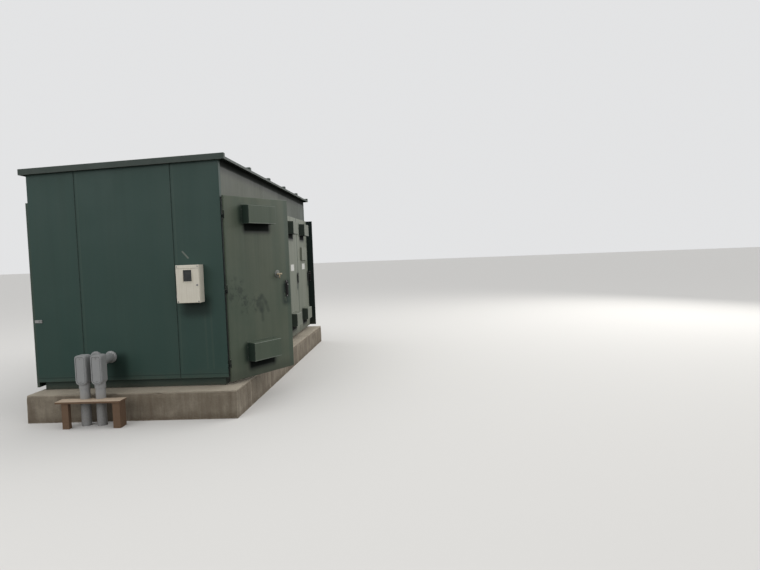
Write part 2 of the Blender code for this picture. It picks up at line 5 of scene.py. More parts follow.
import bmesh
import bpy
from mathutils import Matrix, Vector, noise


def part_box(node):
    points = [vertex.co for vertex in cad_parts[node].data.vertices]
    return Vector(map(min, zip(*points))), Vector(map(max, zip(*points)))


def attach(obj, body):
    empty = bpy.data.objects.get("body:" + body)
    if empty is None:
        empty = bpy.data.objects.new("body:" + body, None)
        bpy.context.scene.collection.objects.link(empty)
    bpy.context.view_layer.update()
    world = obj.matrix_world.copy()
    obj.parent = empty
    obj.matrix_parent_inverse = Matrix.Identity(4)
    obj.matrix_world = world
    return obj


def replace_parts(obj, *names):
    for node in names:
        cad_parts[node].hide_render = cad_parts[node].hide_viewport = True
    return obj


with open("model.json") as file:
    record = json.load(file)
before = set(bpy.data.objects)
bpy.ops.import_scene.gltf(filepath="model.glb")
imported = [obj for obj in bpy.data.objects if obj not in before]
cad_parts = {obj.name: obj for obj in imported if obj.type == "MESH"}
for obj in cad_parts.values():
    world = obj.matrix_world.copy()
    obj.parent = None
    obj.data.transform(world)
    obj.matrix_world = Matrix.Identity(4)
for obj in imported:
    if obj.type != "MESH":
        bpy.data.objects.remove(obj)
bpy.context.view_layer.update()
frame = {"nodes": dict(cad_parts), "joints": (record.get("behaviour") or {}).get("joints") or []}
nodes = frame["nodes"]

# Places taken from the frame
PAD_LOW, PAD_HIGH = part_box("concrete_pad")
DECK = PAD_HIGH.z
FRONT_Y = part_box("front_middle_panel")[0].y
BACK_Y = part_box("back_left_panel")[1].y
RIGHT_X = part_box("right_header")[1].x
LEFT_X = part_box("left_wall")[0].x
SEAM_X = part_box("front_right_panel")[0].x
WALL_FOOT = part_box("front_middle_panel")[0].z
DOORWAY_HEAD, EAVES = (corner.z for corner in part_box("right_header"))
HINGES = {joint["child"]: joint for joint in frame["joints"]}

# Doors, and how far each stands turned at rest
SIDE_DOORS = ["door_1", "door_2", "door_3", "door_4", "door_5"]
DOOR_TURNS = {name: 0.0 for name in SIDE_DOORS}
DOOR_TURNS["door_1"] = math.radians(-29.0)
DOOR_TURNS["end_door"] = math.radians(-90.0)


def from_hinge(node):
    """Box of a node of door 2, which stands closed, measured from its hinge line."""
    pivot = Vector((*HINGES["door_2"]["pos_m"][:2], 0.0))
    low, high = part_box(node)
    return low - pivot, high - pivot


# Sizes in a door's own place: x outwards from its skin, y from the hinge line, z above the ground
LEAF_LOW, LEAF_HIGH = from_hinge("door_2")
HOOD_BOXES = {level: from_hinge(f"door_2_{level}_hood") for level in ("upper", "lower")}
HANDLE_LOW, HANDLE_HIGH = from_hinge("door_2_handle")
HANDLE_MIDDLE = (HANDLE_LOW + HANDLE_HIGH) / 2
END_DOOR_FAR = 1.012
HINGE_SHARES = (0.1, 0.5, 0.9)
HINGE_FOOT = 0.035
HINGE_SPAN = 2.04
HINGE_BARREL = 0.045
STIFFENER_HEIGHTS = (0.62, 1.02, 1.5)
WIRE_PITCH = 0.006

# Sheets, bays, roof, access fittings, and the forms that the pad was cast in
SHEET = 0.003
BAY = 1.067
SEAM_CAP = 0.035
ROOF_SLOPE = 0.0362
FITTING_HALF = 0.06
COVER_HALF = 0.05
COVER_FOOT = 0.141
COVER_HEAD = 0.429
NIPPLE_HEIGHT = 0.355
NIPPLE_SKEW = 0.045
NIPPLE_RUN = 0.345
FORM_START = 0.55
FORM_LENGTH = 0.9
PAD_SPLAY = 0.09

# Gap under a fitting, rounding of a folded edge, and ways that fittings face
SEAT = 0.0003
FOLD = 0.0006
OUT = (1.0, 0.0, 0.0)
TO_FRONT = (0.0, -1.0, 0.0)
TO_LEFT = (-1.0, 0.0, 0.0)
UP = (0.0, 0.0, 1.0)

# Camera of the photograph
CAMERA_PLACE = Vector((3.0547, -9.0382, 1.6761))
CAMERA_YAW = 0.0460
CAMERA_PITCH = 0.0512
CAMERA_ROLL = 0.0370
CAMERA_LENS = 28.18
CAMERA_SENSOR = 36.0

# Base colours, linear
WALL_GREEN = (0.024, 0.058, 0.048)
# Faded wall paint, also the painted highlight beside each front seam
WALL_FADED_AND_HIGHLIGHT = (0.044, 0.073, 0.058)
# Right side wall: a lighter, greyer copy of the wall paint, with the sky's sheen on that side painted in
SHEEN_SIDE_GREEN = (0.066, 0.077, 0.055)
SHEEN_SIDE_FADED = (0.096, 0.106, 0.078)
DOOR_GREEN = (0.058, 0.084, 0.059)
DOOR_FADED = (0.093, 0.111, 0.078)
# Paint of doors 2 to 5: a lighter copy of the first door's paint, with the sky's sheen on them painted in
SHEEN_DOOR_GREEN = (0.135, 0.152, 0.117)
SHEEN_DOOR_FADED = (0.2, 0.213, 0.172)
TRIM_GREEN = (0.026, 0.044, 0.036)
TRIM_FADED = (0.07, 0.08, 0.07)
BASE_GREEN = (0.022, 0.038, 0.03)
# Painted shade: near-black green of the open end door and of the doorway posts in the gaps round the side
# doors
DEEP_SHADE_GREEN = (0.006, 0.014, 0.012)
SHADE_GREEN = (0.006, 0.018, 0.014)
SCUFF_GREEN = (0.03, 0.042, 0.032)
SHADOW = (0.001, 0.003, 0.002)
# Painted shade: the dark inside of the hoods and the openings between a screen's wires
INSIDE_SHADE = (0.006, 0.008, 0.007)
GRIME = (0.018, 0.02, 0.016)
CHALK = (0.17, 0.185, 0.16)
# Painted highlight along the front edges of the hoods
PAINTED_HIGHLIGHT = (0.26, 0.28, 0.25)
RUST = (0.16, 0.06, 0.025)
MUD = (0.13, 0.1, 0.07)
CONCRETE = (0.31, 0.272, 0.21)
CONCRETE_LIGHT = (0.395, 0.346, 0.272)
CONCRETE_SHADE = (0.2, 0.175, 0.14)
CONCRETE_STAIN = (0.125, 0.1, 0.068)
SOIL = (0.075, 0.052, 0.032)
STONE = (0.13, 0.12, 0.11)
PVC_GREY = (0.3, 0.305, 0.302)
PVC_DARK = (0.19, 0.19, 0.2)
PVC_WORN = (0.46, 0.46, 0.46)
BEIGE = (0.68, 0.645, 0.55)
BEIGE_YELLOWED = (0.5, 0.455, 0.35)
BEIGE_DIRT = (0.3, 0.22, 0.14)
TIMBER = (0.54, 0.43, 0.32)
TIMBER_GREY = (0.4, 0.31, 0.225)
TIMBER_DARK = (0.14, 0.085, 0.05)
SPLIT = (0.03, 0.02, 0.015)
STEEL_GREY = (0.4, 0.4, 0.39)
ZINC = (0.34, 0.34, 0.33)
BRIGHT = (0.17, 0.18, 0.16)
BRASS = (0.36, 0.3, 0.2)
PLATE = (0.6, 0.6, 0.57)
BLACK = (0.012, 0.012, 0.012)
DUST = (0.07, 0.07, 0.063)
WORN_BLACK = (0.16, 0.16, 0.155)
GLASS_DARK = (0.03, 0.034, 0.036)
WIRE = (0.12, 0.12, 0.115)
PAINT_GLOSS = 0.28


# Node tools

def put(tree, kind, feeds=None, **settings):
    """Add a node and feed its inputs, each from a plain value or from another node's socket."""
    made = tree.nodes.new("ShaderNode" + kind)
    for name, value in settings.items():
        setattr(made, name, value)
    for name, value in (feeds or {}).items():
        feed(tree, made.inputs[name], value)
    return made


def feed(tree, socket, value):
    if isinstance(value, bpy.types.NodeSocket):
        tree.links.new(value, socket)
    else:
        socket.default_value = value


def number(tree, operation, first, second=0.0, clamp=False):
    return put(tree, "Math", {0: first, 1: second}, operation=operation, use_clamp=clamp).outputs[0]


def plus(tree, first, second, clamp=False):
    return number(tree, "ADD", first, second, clamp)


def times(tree, first, second, clamp=False):
    return number(tree, "MULTIPLY", first, second, clamp)


def vector(tree, operation, first, second=(0.0, 0.0, 0.0), output="Vector"):
    return put(tree, "VectorMath", {0: first, 1: second}, operation=operation).outputs[output]


def ramp(tree, value, low, high):
    """Carry value from the range low..high to 0..1, straight and clamped."""
    return put(tree, "MapRange", {0: value, 1: low, 2: high}).outputs[0]


def remap(tree, value, low, high, to_low=0.0, to_high=1.0):
    """Carry value from the range low..high to to_low..to_high, softly and clamped."""
    feeds = {0: value, 1: low, 2: high, 3: to_low, 4: to_high}
    return put(tree, "MapRange", feeds, interpolation_type="SMOOTHSTEP").outputs[0]


def opaque(value):
    """A colour with its alpha, or a socket as it is."""
    return value if isinstance(value, bpy.types.NodeSocket) else (*value[:3], 1.0)


def blend(tree, share, below, above):
    return put(tree, "Mix", {0: share, 6: opaque(below), 7: opaque(above)}, data_type="RGBA").outputs[2]


def lay_on(tree, colour, *layers):
    """Lay colours over one another: each layer is a mask, its strength and its colour."""
    for mask, strength, above in layers:
        colour = blend(tree, times(tree, mask, strength), colour, above)
    return colour


def cloud(tree, place, scale, detail=3.0, rough=0.5, seed=0.0):
    feeds = {"Vector": place, "Scale": scale, "Detail": detail, "Roughness": rough, "W": seed}
    return put(tree, "TexNoise", feeds, noise_dimensions="4D").outputs["Fac"]


def stretch(tree, place, across, down):
    """Squeeze a place so that a pattern on it is stretched up and down."""
    factors = put(tree, "CombineXYZ", {"X": across, "Y": across, "Z": down}).outputs[0]
    return vector(tree, "MULTIPLY", place, factors)


def part_of(tree, place, axis):
    return put(tree, "SeparateXYZ", {"Vector": place}).outputs[axis]


# Effects that several finishes share

effects = {}


def start_effect(name, outputs=("Mask",), **inputs):
    """A node group with a place, named inputs and outputs, ready to be filled between its two ends."""
    group = bpy.data.node_groups.new(name, "ShaderNodeTree")
    for label, value in {"Place": None, **inputs}.items():
        kind = "Vector" if value is None else "Float" if isinstance(value, float) else "Color"
        socket = group.interface.new_socket(label, in_out="INPUT", socket_type="NodeSocket" + kind)
        if value is not None:
            socket.default_value = value
    for label in outputs:
        kind = "Color" if label == "Colour" else "Float"
        group.interface.new_socket(label, in_out="OUTPUT", socket_type="NodeSocket" + kind)
    effects[name] = group
    return group, group.nodes.new("NodeGroupInput").outputs, group.nodes.new("NodeGroupOutput").inputs


def place_effect(tree, name, place, *values):
    """Put a shared effect into a tree, its values in the order of its inputs, and return its outputs."""
    made = tree.nodes.new("ShaderNodeGroup")
    made.node_tree = effects[name]
    for socket, value in zip(made.inputs, (place, *values)):
        feed(tree, socket, opaque(value) if socket.type == "RGBA" else value)
    return made.outputs


def mask_of(name):
    """A function that puts a shared effect into a tree and returns its mask."""
    return lambda tree, place, *values: place_effect(tree, name, place, *values)["Mask"]


streaks = mask_of("streaks")
blotches = mask_of("blotches")
edge_wear = mask_of("edge_wear")
splash = mask_of("splash")
specks = mask_of("specks")
stroke = mask_of("stroke")
soft_box = mask_of("soft_box")


def make_streaks():
    """Thin marks that run down a face."""
    group, given, out = start_effect("streaks", Across=22.0, Down=0.7, Coverage=0.5)
    value = cloud(group, stretch(group, given["Place"], given["Across"], given["Down"]), 1.0, 4.0, 0.6)
    low = number(group, "SUBTRACT", 0.82, given["Coverage"])
    feed(group, out["Mask"], ramp(group, value, low, plus(group, low, 0.3)))


def make_blotches():
    """Soft uneven patches."""
    group, given, out = start_effect("blotches", Scale=1.5, Low=0.35, High=0.7)
    value = cloud(group, given["Place"], given["Scale"], 5.0, 0.62, 3.0)
    feed(group, out["Mask"], ramp(group, value, given["Low"], given["High"]))


def make_edge_wear():
    """Where a face bends over an edge, broken up by noise."""
    group, given, out = start_effect("edge_wear", Radius=0.006, Breaks=26.0)
    rounded = put(group, "Bevel", {"Radius": given["Radius"]}, samples=6).outputs[0]
    plain = put(group, "NewGeometry").outputs["Normal"]
    bend = remap(group, vector(group, "DOT_PRODUCT", rounded, plain, "Value"), 0.995, 0.93)
    broken = remap(group, cloud(group, given["Place"], given["Breaks"], 4.0, 0.65, 5.0), 0.38, 0.56)
    feed(group, out["Mask"], times(group, bend, broken))


def make_splash():
    """Dirt thrown up from the ground, thickest at the foot."""
    group, given, out = start_effect("splash", Foot=DECK, Reach=0.5)
    height = number(group, "SUBTRACT", part_of(group, given["Place"], 2), given["Foot"])
    share = number(group, "DIVIDE", height, given["Reach"])
    uneven = plus(group, share, times(group, cloud(group, given["Place"], 7.0, 5.0, 0.7), 0.9))
    speckle = remap(group, cloud(group, given["Place"], 55.0, 2.0, 0.6, 2.0), 0.35, 0.65, 0.45, 1.0)
    feed(group, out["Mask"], times(group, remap(group, uneven, 1.25, 0.4), speckle))


def make_specks():
    """Small chips, stones or spots."""
    group, given, out = start_effect("specks", Scale=60.0, Size=0.12, Rarity=0.6)
    cells = put(group, "TexVoronoi", {"Vector": given["Place"], "Scale": given["Scale"]})
    spot = ramp(group, cells.outputs["Distance"], given["Size"], 0.0)
    rare = cloud(group, given["Place"], 3.0, 3.0, 0.6, 8.0)
    kept = ramp(group, rare, given["Rarity"], plus(group, given["Rarity"], 0.05))
    feed(group, out["Mask"], times(group, spot, kept))


def make_stroke():
    """A soft mark along a straight line between two points."""
    group, given, out = start_effect("stroke", Start=None, End=None, Width=0.005, Softness=0.01)
    way = vector(group, "SUBTRACT", given["End"], given["Start"])
    reach = vector(group, "SUBTRACT", given["Place"], given["Start"])
    along = vector(group, "DOT_PRODUCT", reach, way, "Value")
    share = number(group, "DIVIDE", along, vector(group, "DOT_PRODUCT", way, way, "Value"), clamp=True)
    nearest = put(group, "VectorMath", {0: way, "Scale": share}, operation="SCALE").outputs[0]
    distance = vector(group, "DISTANCE", reach, nearest, "Value")
    edge = plus(group, given["Width"], given["Softness"])
    feed(group, out["Mask"], remap(group, distance, given["Width"], edge, 1.0, 0.0))


def make_soft_box():
    """A rectangular patch with soft sides."""
    group, given, out = start_effect("soft_box", Middle=None, Half=None, Softness=0.05)
    offset = vector(group, "ABSOLUTE", vector(group, "SUBTRACT", given["Place"], given["Middle"]))
    outside = vector(group, "MAXIMUM", vector(group, "SUBTRACT", offset, given["Half"]))
    distance = vector(group, "LENGTH", outside, output="Value")
    feed(group, out["Mask"], remap(group, distance, 0.0, given["Softness"], 1.0, 0.0))


def make_sheet_relief():
    """Height of painted sheet: slow waves between its fixings and a fine spray texture."""
    group, given, out = start_effect("sheet_relief", ("Height",), Waves=1.0)
    waves = cloud(group, given["Place"], 1.6, 1.0, 0.4, 1.0)
    slow = times(group, waves, times(group, given["Waves"], 0.015))
    fine = times(group, cloud(group, given["Place"], 420.0, 2.0, 0.5), 0.00012)
    feed(group, out["Height"], plus(group, slow, fine))


def make_weathering():
    """Old spray paint: faded in patches and bands, streaked with dirt and splashed at the foot."""
    group, given, out = start_effect("weathering", ("Colour", "Roughness"), Paint=opaque(WALL_GREEN),
                                     Faded=opaque(WALL_FADED_AND_HIGHLIGHT), Fading=0.6, Streaking=0.3, Reach=0.4)
    place = given["Place"]
    patch = blotches(group, place, 1.3, 0.3, 0.72)
    cast = blotches(group, place, 6.0, 0.3, 0.75)
    bands = remap(group, cloud(group, stretch(group, place, 7.0, 0.35), 1.0, 2.0, 0.5, 6.0), 0.35, 0.65)
    worn = plus(group, times(group, patch, 0.45), times(group, cast, 0.2))
    worn = plus(group, worn, times(group, bands, 0.35))
    colour = blend(group, times(group, worn, given["Fading"], clamp=True), given["Paint"], given["Faded"])
    grain = remap(group, cloud(group, place, 160.0, 3.0, 0.7, 9.0), 0.3, 0.7, 0.0, 0.16)
    colour = blend(group, grain, colour, given["Faded"])
    runs = streaks(group, place, 14.0, 0.5, 0.38)
    fine_runs = streaks(group, place, 60.0, 1.6, 0.3)
    running = times(group, number(group, "MAXIMUM", runs, fine_runs), given["Streaking"])
    mud = splash(group, place, DECK, given["Reach"])
    feed(group, out["Colour"], lay_on(group, colour, (running, 0.7, GRIME), (mud, 0.3, MUD)))
    dirt = number(group, "MAXIMUM", running, mud)
    rough = remap(group, patch, 0.0, 1.0, 0.42, 0.54)
    feed(group, out["Roughness"], plus(group, rough, times(group, dirt, 0.3)))


for make_effect in (make_streaks, make_blotches, make_edge_wear, make_splash, make_specks, make_stroke,
                    make_soft_box, make_sheet_relief, make_weathering):
    make_effect()


# Finishes

def start_finish(name, turn=None):
    """A material with its node tree, its shader and the place on the piece that patterns read."""
    material = bpy.data.materials.new(name)
    material.use_nodes = True
    tree = material.node_tree
    place = put(tree, "TexCoord").outputs["Object"]
    if turn:
        location, angle = turn
        place = put(tree, "Mapping", {"Vector": place, "Location": location, "Rotation": (0.0, 0.0, angle)},
                    vector_type="TEXTURE").outputs[0]
    return material, tree, tree.nodes["Principled BSDF"], place


def end_finish(tree, shader, colour, roughness, height):
    """Feed the shader its colour and roughness, and its relief as a height in metres."""
    feed(tree, shader.inputs["Base Color"], colour)
    feed(tree, shader.inputs["Roughness"], roughness)
    bump = put(tree, "Bump", {"Height": height, "Distance": 1.0, "Strength": 1.0})
    feed(tree, shader.inputs["Normal"], bump.outputs[0])


def paint_finish(name, paint, faded, fading=0.6, streaking=0.3, reach=0.3, turn=None, wear=0.35,
                 wear_radius=0.006, rust=0.3, waves=1.0, marks=None):
    """Weathered paint on steel, worn and a little rusty at its edges; marks adds local marks to it."""
    material, tree, shader, place = start_finish(name, turn)
    shader.inputs["Specular IOR Level"].default_value = PAINT_GLOSS
    worn = place_effect(tree, "weathering", place, paint, faded, fading, streaking, reach)
    colour = marks(tree, place, worn["Colour"]) if marks else worn["Colour"]
    colour = lay_on(tree, colour, (edge_wear(tree, place, wear_radius), wear, CHALK),
                    (specks(tree, place, 34.0, 0.16, 0.66), rust, RUST))
    relief = place_effect(tree, "sheet_relief", place, waves)["Height"]
    # Where painted shade and shadow make the colour dark, the paint is made matter, so that its gloss doesn't
    # lift them
    shade_matte = remap(tree, part_of(tree, colour, 1), 0.022, 0.005, 0.0, 0.5)
    end_finish(tree, shader, colour, plus(tree, worn["Roughness"], shade_matte, clamp=True), relief)
    return material


def front_wall_marks(tree, place, colour):
    """Painted shade and painted highlight along the seams, a scratch, runs under the meter box, a dark line
    near the foot, painted shade under the meter box and low left of middle, and painted shadow over the hinge
    barrels.
    """
    def on_wall(x, height):
        return (x, FRONT_Y, DECK + height)

    def line(start, end, width, softness):
        return stroke(tree, place, on_wall(*start), on_wall(*end), width, softness)

    # Painted shade along each seam, and a painted highlight just right of it on the next sheet's fold
    for seam in (-SEAM_X, SEAM_X):
        lit = seam + 0.028
        colour = lay_on(tree, colour, (line((seam, 0.0), (seam, 3.0), 0.002, 0.012), 0.4, SHADE_GREEN),
                        (line((lit, 0.0), (lit, 3.0), 0.002, 0.01), 0.5, WALL_FADED_AND_HIGHLIGHT))
    colour = lay_on(tree, colour, (line((0.628, 1.48), (0.686, 1.411), 0.003, 0.01), 0.75, CHALK))
    for x in (0.838, 0.905):
        colour = lay_on(tree, colour, (line((x, 0.92), (x + 0.006, 0.2), 0.004, 0.014), 0.5, WALL_FADED_AND_HIGHLIGHT))
    foot = WALL_FOOT - DECK + 0.045
    # Painted shade under the meter box and in a patch low left of middle, and painted shadow over the hinge
    # barrels in the gap at the right edge
    return lay_on(
        tree, colour, (line((LEFT_X, foot), (RIGHT_X, foot), 0.001, 0.007), 0.55, SHADE_GREEN),
        (soft_box(tree, place, on_wall(0.75, 0.88), (0.1, 0.01, 0.05), 0.12), 0.85, SHADE_GREEN),
        (soft_box(tree, place, on_wall(-0.14, 0.24), (0.04, 0.01, 0.1), 0.1), 0.75, SHADE_GREEN),
        (remap(tree, part_of(tree, place, 0), RIGHT_X + 0.0005, RIGHT_X + 0.003), 0.95, SHADOW))


def side_wall_marks(tree, place, colour):
    """Painted shade that deepens towards the far end, and painted shadow under the eaves."""
    # Painted shade towards the far end of the side wall
    distance = remap(tree, part_of(tree, place, 1), FRONT_Y + BAY, BACK_Y, 0.0, 0.45)
    eaves = stroke(tree, place, (RIGHT_X, FRONT_Y, EAVES), (RIGHT_X, BACK_Y, EAVES), 0.06, 0.13)
    return lay_on(tree, colour, (distance, 1.0, SHADE_GREEN), (eaves, 0.96, SHADOW))


def door_marks(tree, place, colour):
    """Dirt runs under a door's hoods, painted shade beside them and painted shadow under them, painted shade
    along the foot, painted shadow along the hinge edge, a darker broken patch round the handle, and a paler
    strip near the free edge.
    """
    runs = streaks(tree, place, 24.0, 0.4, 0.42)
    for level, (low, high) in HOOD_BOXES.items():
        middle, half_y = (low + high) / 2, (high.y - low.y) / 2
        reach = 0.7 if level == "upper" else 0.2
        below = soft_box(tree, place, (0.0, middle.y, low.z - reach / 2), (0.01, half_y, reach / 2), 0.12)
        # Painted shade beside each hood, and painted shadow under it
        beside = soft_box(tree, place, (0.0, low.y, middle.z), (0.01, 0.02, 0.07), 0.08)
        under = soft_box(tree, place, (0.0, middle.y, low.z - 0.02), (0.01, half_y - 0.04, 0.045), 0.08)
        colour = lay_on(tree, colour, (times(tree, below, runs), 0.16, SCUFF_GREEN),
                        (beside, 0.75, SHADE_GREEN), (under, 0.99, SHADOW))
    # Painted shade along the door's foot, and painted shadow along its hinge edge
    foot = soft_box(tree, place, (0.0, 0.5, LEAF_LOW.z), (0.01, 0.5, 0.03), 0.12)
    halo = soft_box(tree, place, (0.0, HANDLE_MIDDLE.y - 0.01, HANDLE_MIDDLE.z - 0.05),
                    (0.01, 0.025, 0.1), 0.09)
    broken = remap(tree, cloud(tree, place, 9.0, 3.0, 0.6, 4.0), 0.28, 0.5)
    hinge_side, free_side = (
        stroke(tree, place, (0.0, y, LEAF_LOW.z), (0.0, y, LEAF_HIGH.z), width, softness)
        for y, width, softness in ((LEAF_LOW.y, 0.007, 0.008), (LEAF_HIGH.y - 0.04, 0.02, 0.03)))
    return lay_on(tree, colour, (foot, 0.3, SHADE_GREEN), (hinge_side, 0.97, SHADOW),
                  (times(tree, halo, broken), 0.9, SHADE_GREEN), (free_side, 0.35, WALL_FADED_AND_HIGHLIGHT))


def first_door_marks(tree, place, colour):
    """A door's dirt and painted shade, with smudges and a bent scuff where the first door has been pushed."""
    colour = door_marks(tree, place, colour)
    spots = remap(tree, cloud(tree, place, 13.0, 4.0, 0.65, 7.0), 0.46, 0.62)
    for y, z, half_y, half_z in ((0.13, 1.02, 0.07, 0.09), (0.35, 0.87, 0.12, 0.05)):
        smudge = soft_box(tree, place, (0.0, y, DECK + z), (0.01, half_y, half_z), 0.12)
        colour = lay_on(tree, colour, (times(tree, smudge, spots), 0.7, SCUFF_GREEN))
    for start_y, start_z, end_y, end_z, width in (
            (0.53, 0.94, 0.47, 0.85, 0.008), (0.47, 0.85, 0.51, 0.78, 0.01), (0.54, 0.94, 0.6, 0.86, 0.006),
            (0.6, 0.86, 0.64, 0.76, 0.004), (0.53, 0.84, 0.535, 0.78, 0.02), (0.53, 0.78, 0.54, 0.66, 0.002)):
        scuff = stroke(tree, place, (0.0, start_y, DECK + start_z), (0.0, end_y, DECK + end_z), width, 0.036)
        colour = lay_on(tree, colour, (scuff, 0.5, SCUFF_GREEN))
    return colour


def hood_marks(tree, place, colour):
    """Painted shade inside a rain hood, on its near side and on the flange beside it, and painted highlights
    along the foot and head of its front.
    """
    for level, (low, high) in HOOD_BOXES.items():
        middle, half = (low + high) / 2, (high - low) / 2
        # Painted shade inside the hood where its open bottom shows, on its near side and on the flange next
        # to it
        inside = soft_box(tree, place, (middle.x - 0.002, middle.y, middle.z - 0.006),
                          (half.x + 0.0008, half.y - 0.0014, half.z - 0.002), 0.0005)
        side = soft_box(tree, place, (middle.x, low.y, middle.z),
                        (half.x - 0.003, 0.0006, half.z - 0.003), 0.003)
        flange = soft_box(tree, place, (0.0, low.y - 0.01, middle.z), (0.004, 0.008, half.z), 0.004)
        # Painted highlights along the foot and head of the front, the head's stronger on the lower hood,
        # which is seen from above
        foot_line, head_line = (stroke(tree, place, (high.x, low.y, z), (high.x, high.y, z), 0.005, 0.006)
                                for z in (low.z, high.z))
        colour = lay_on(
            tree, colour, (inside, 0.97, INSIDE_SHADE), (side, 0.8, SHADE_GREEN), (flange, 0.7, SHADE_GREEN),
            (foot_line, 0.35, PAINTED_HIGHLIGHT), (head_line, 0.85 if level == "lower" else 0.35, PAINTED_HIGHLIGHT))
    return colour


def concrete_finish():
    """Cast concrete: sandy top, stained faces, stones showing through and pinholes."""
    material, tree, shader, place = start_finish("concrete")
    fine = remap(tree, cloud(tree, place, 90.0, 4.0, 0.75, 2.0), 0.3, 0.7)
    face = remap(tree, part_of(tree, place, 2), DECK - 0.006, DECK - 0.03)
    wet = remap(tree, blotches(tree, place, 4.2, 0.25, 0.6), 0.0, 1.0, 0.2, 0.7)
    runs = streaks(tree, place, 16.0, 2.0, 0.45)
    along = number(tree, "SUBTRACT", part_of(tree, place, 1), PAD_LOW.y + FORM_START)
    joint = remap(tree, number(tree, "PINGPONG", along, FORM_LENGTH / 2), 0.006, 0.03, 1.0, 0.0)
    colour = lay_on(
        tree, blend(tree, blotches(tree, place, 3.0, 0.3), CONCRETE, CONCRETE_LIGHT),
        (fine, 0.3, CONCRETE_SHADE), (face, wet, CONCRETE_STAIN), (times(tree, runs, face), 0.5, SOIL),
        (splash(tree, place, 0.0, 0.12), 0.7, SOIL), (times(tree, joint, face), 0.4, CONCRETE_LIGHT),
        (specks(tree, place, 70.0, 0.3, 0.4), 0.35, STONE),
        (edge_wear(tree, place, 0.02, 14.0), 0.35, CONCRETE_LIGHT))
    lumps = times(tree, cloud(tree, place, 30.0, 6.0, 0.7), 0.006)
    pits = times(tree, specks(tree, place, 45.0, 0.2, 0.45), 0.004)
    relief = number(tree, "SUBTRACT", lumps, pits)
    end_finish(tree, shader, colour, remap(tree, fine, 0.0, 1.0, 0.82, 0.96), relief)
    return material


def pvc_finish():
    """Moulded grey plastic, chalked by the sun, dusty and scratched."""
    material, tree, shader, place = start_finish("grey_plastic")
    patch = blotches(tree, place, 9.0, 0.3, 0.75)
    colour = lay_on(
        tree, PVC_GREY, (patch, 0.25, PVC_DARK), (streaks(tree, place, 60.0, 3.0, 0.36), 0.3, PVC_DARK),
        (splash(tree, place, DECK - 0.03, 0.12), 0.3, MUD), (edge_wear(tree, place, 0.003), 0.3, PVC_WORN))
    relief = times(tree, cloud(tree, place, 250.0, 3.0, 0.6), 0.0002)
    end_finish(tree, shader, colour, remap(tree, patch, 0.0, 1.0, 0.45, 0.62), relief)
    return material


def enamel_finish():
    """Beige enamel on a small steel box, yellowed, with dirt in runs and at its edges."""
    material, tree, shader, place = start_finish("beige_enamel")
    patch = blotches(tree, place, 7.0)
    colour = lay_on(
        tree, BEIGE, (patch, 0.3, BEIGE_YELLOWED), (streaks(tree, place, 70.0, 3.0, 0.36), 0.22, BEIGE_DIRT),
        (edge_wear(tree, place, 0.002, 60.0), 0.35, BEIGE_DIRT))
    relief = times(tree, cloud(tree, place, 350.0, 2.0, 0.5), 0.0001)
    end_finish(tree, shader, colour, remap(tree, patch, 0.0, 1.0, 0.34, 0.5), relief)
    return material


def timber_finish():
    """Weathered board: grain along its length, pale on top, brown where it is split and on its edges."""
    material, tree, shader, place = start_finish("board_timber")
    along = put(tree, "Mapping", {"Vector": place, "Scale": (3.0, 60.0, 60.0)}).outputs[0]
    grain = cloud(tree, along, 1.0, 6.0, 0.7, 1.0)
    edge = remap(tree, part_of(tree, place, 2), DECK - 0.0205, DECK - 0.0225)
    colour = lay_on(
        tree, blend(tree, remap(tree, grain, 0.32, 0.68), TIMBER, TIMBER_GREY), (edge, 1.0, TIMBER_DARK),
        (blotches(tree, place, 6.0, 0.4, 0.75), 0.35, TIMBER_DARK),
        (remap(tree, grain, 0.3, 0.24), 0.7, SPLIT))
    end_finish(tree, shader, colour, remap(tree, grain, 0.3, 0.7, 0.95, 0.75), times(tree, grain, 0.004))
    return material


def metal_finish(name, colour, rough=0.42, metallic=1.0, dullness=0.35):
    """Plated or brushed metal, dulled in spots."""
    material, tree, shader, place = start_finish(name)
    shader.inputs["Metallic"].default_value = metallic
    fine = put(tree, "Mapping", {"Vector": place, "Scale": (40.0, 40.0, 900.0)}).outputs[0]
    brushed = cloud(tree, fine, 1.0, 2.0)
    dull = blotches(tree, place, 40.0)
    toned = lay_on(tree, colour, (dull, dullness, [part / 2 for part in colour]))
    roughness = plus(tree, remap(tree, brushed, 0.3, 0.7, rough - 0.05, rough + 0.05), times(tree, dull, 0.2))
    end_finish(tree, shader, toned, roughness, times(tree, brushed, 0.0001))
    return material


def black_finish(name, rough, wear):
    """Black coating or rubber, greyed at its edges and dusty."""
    material, tree, shader, place = start_finish(name)
    shader.inputs["Specular IOR Level"].default_value = PAINT_GLOSS
    dust = blotches(tree, place, 14.0, 0.4, 0.8)
    colour = lay_on(tree, BLACK, (dust, 0.25, DUST), (edge_wear(tree, place, 0.0015, 70.0), wear, WORN_BLACK))
    relief = times(tree, cloud(tree, place, 500.0, 2.0, 0.5), 0.00008)
    end_finish(tree, shader, colour, remap(tree, dust, 0.0, 1.0, rough, rough + 0.25), relief)
    return material


def glass_finish():
    """Dark sight glass, dusty in patches and faintly rippled."""
    material, tree, shader, place = start_finish("sight_glass")
    shader.inputs["Coat Weight"].default_value = 0.6
    shader.inputs["Coat Roughness"].default_value = 0.05
    dust = blotches(tree, place, 30.0, 0.35, 0.8)
    relief = times(tree, cloud(tree, place, 20.0, 1.0), 0.0004)
    colour = lay_on(tree, GLASS_DARK, (dust, 0.5, DUST))
    end_finish(tree, shader, colour, remap(tree, dust, 0.0, 1.0, 0.06, 0.3), relief)
    return material


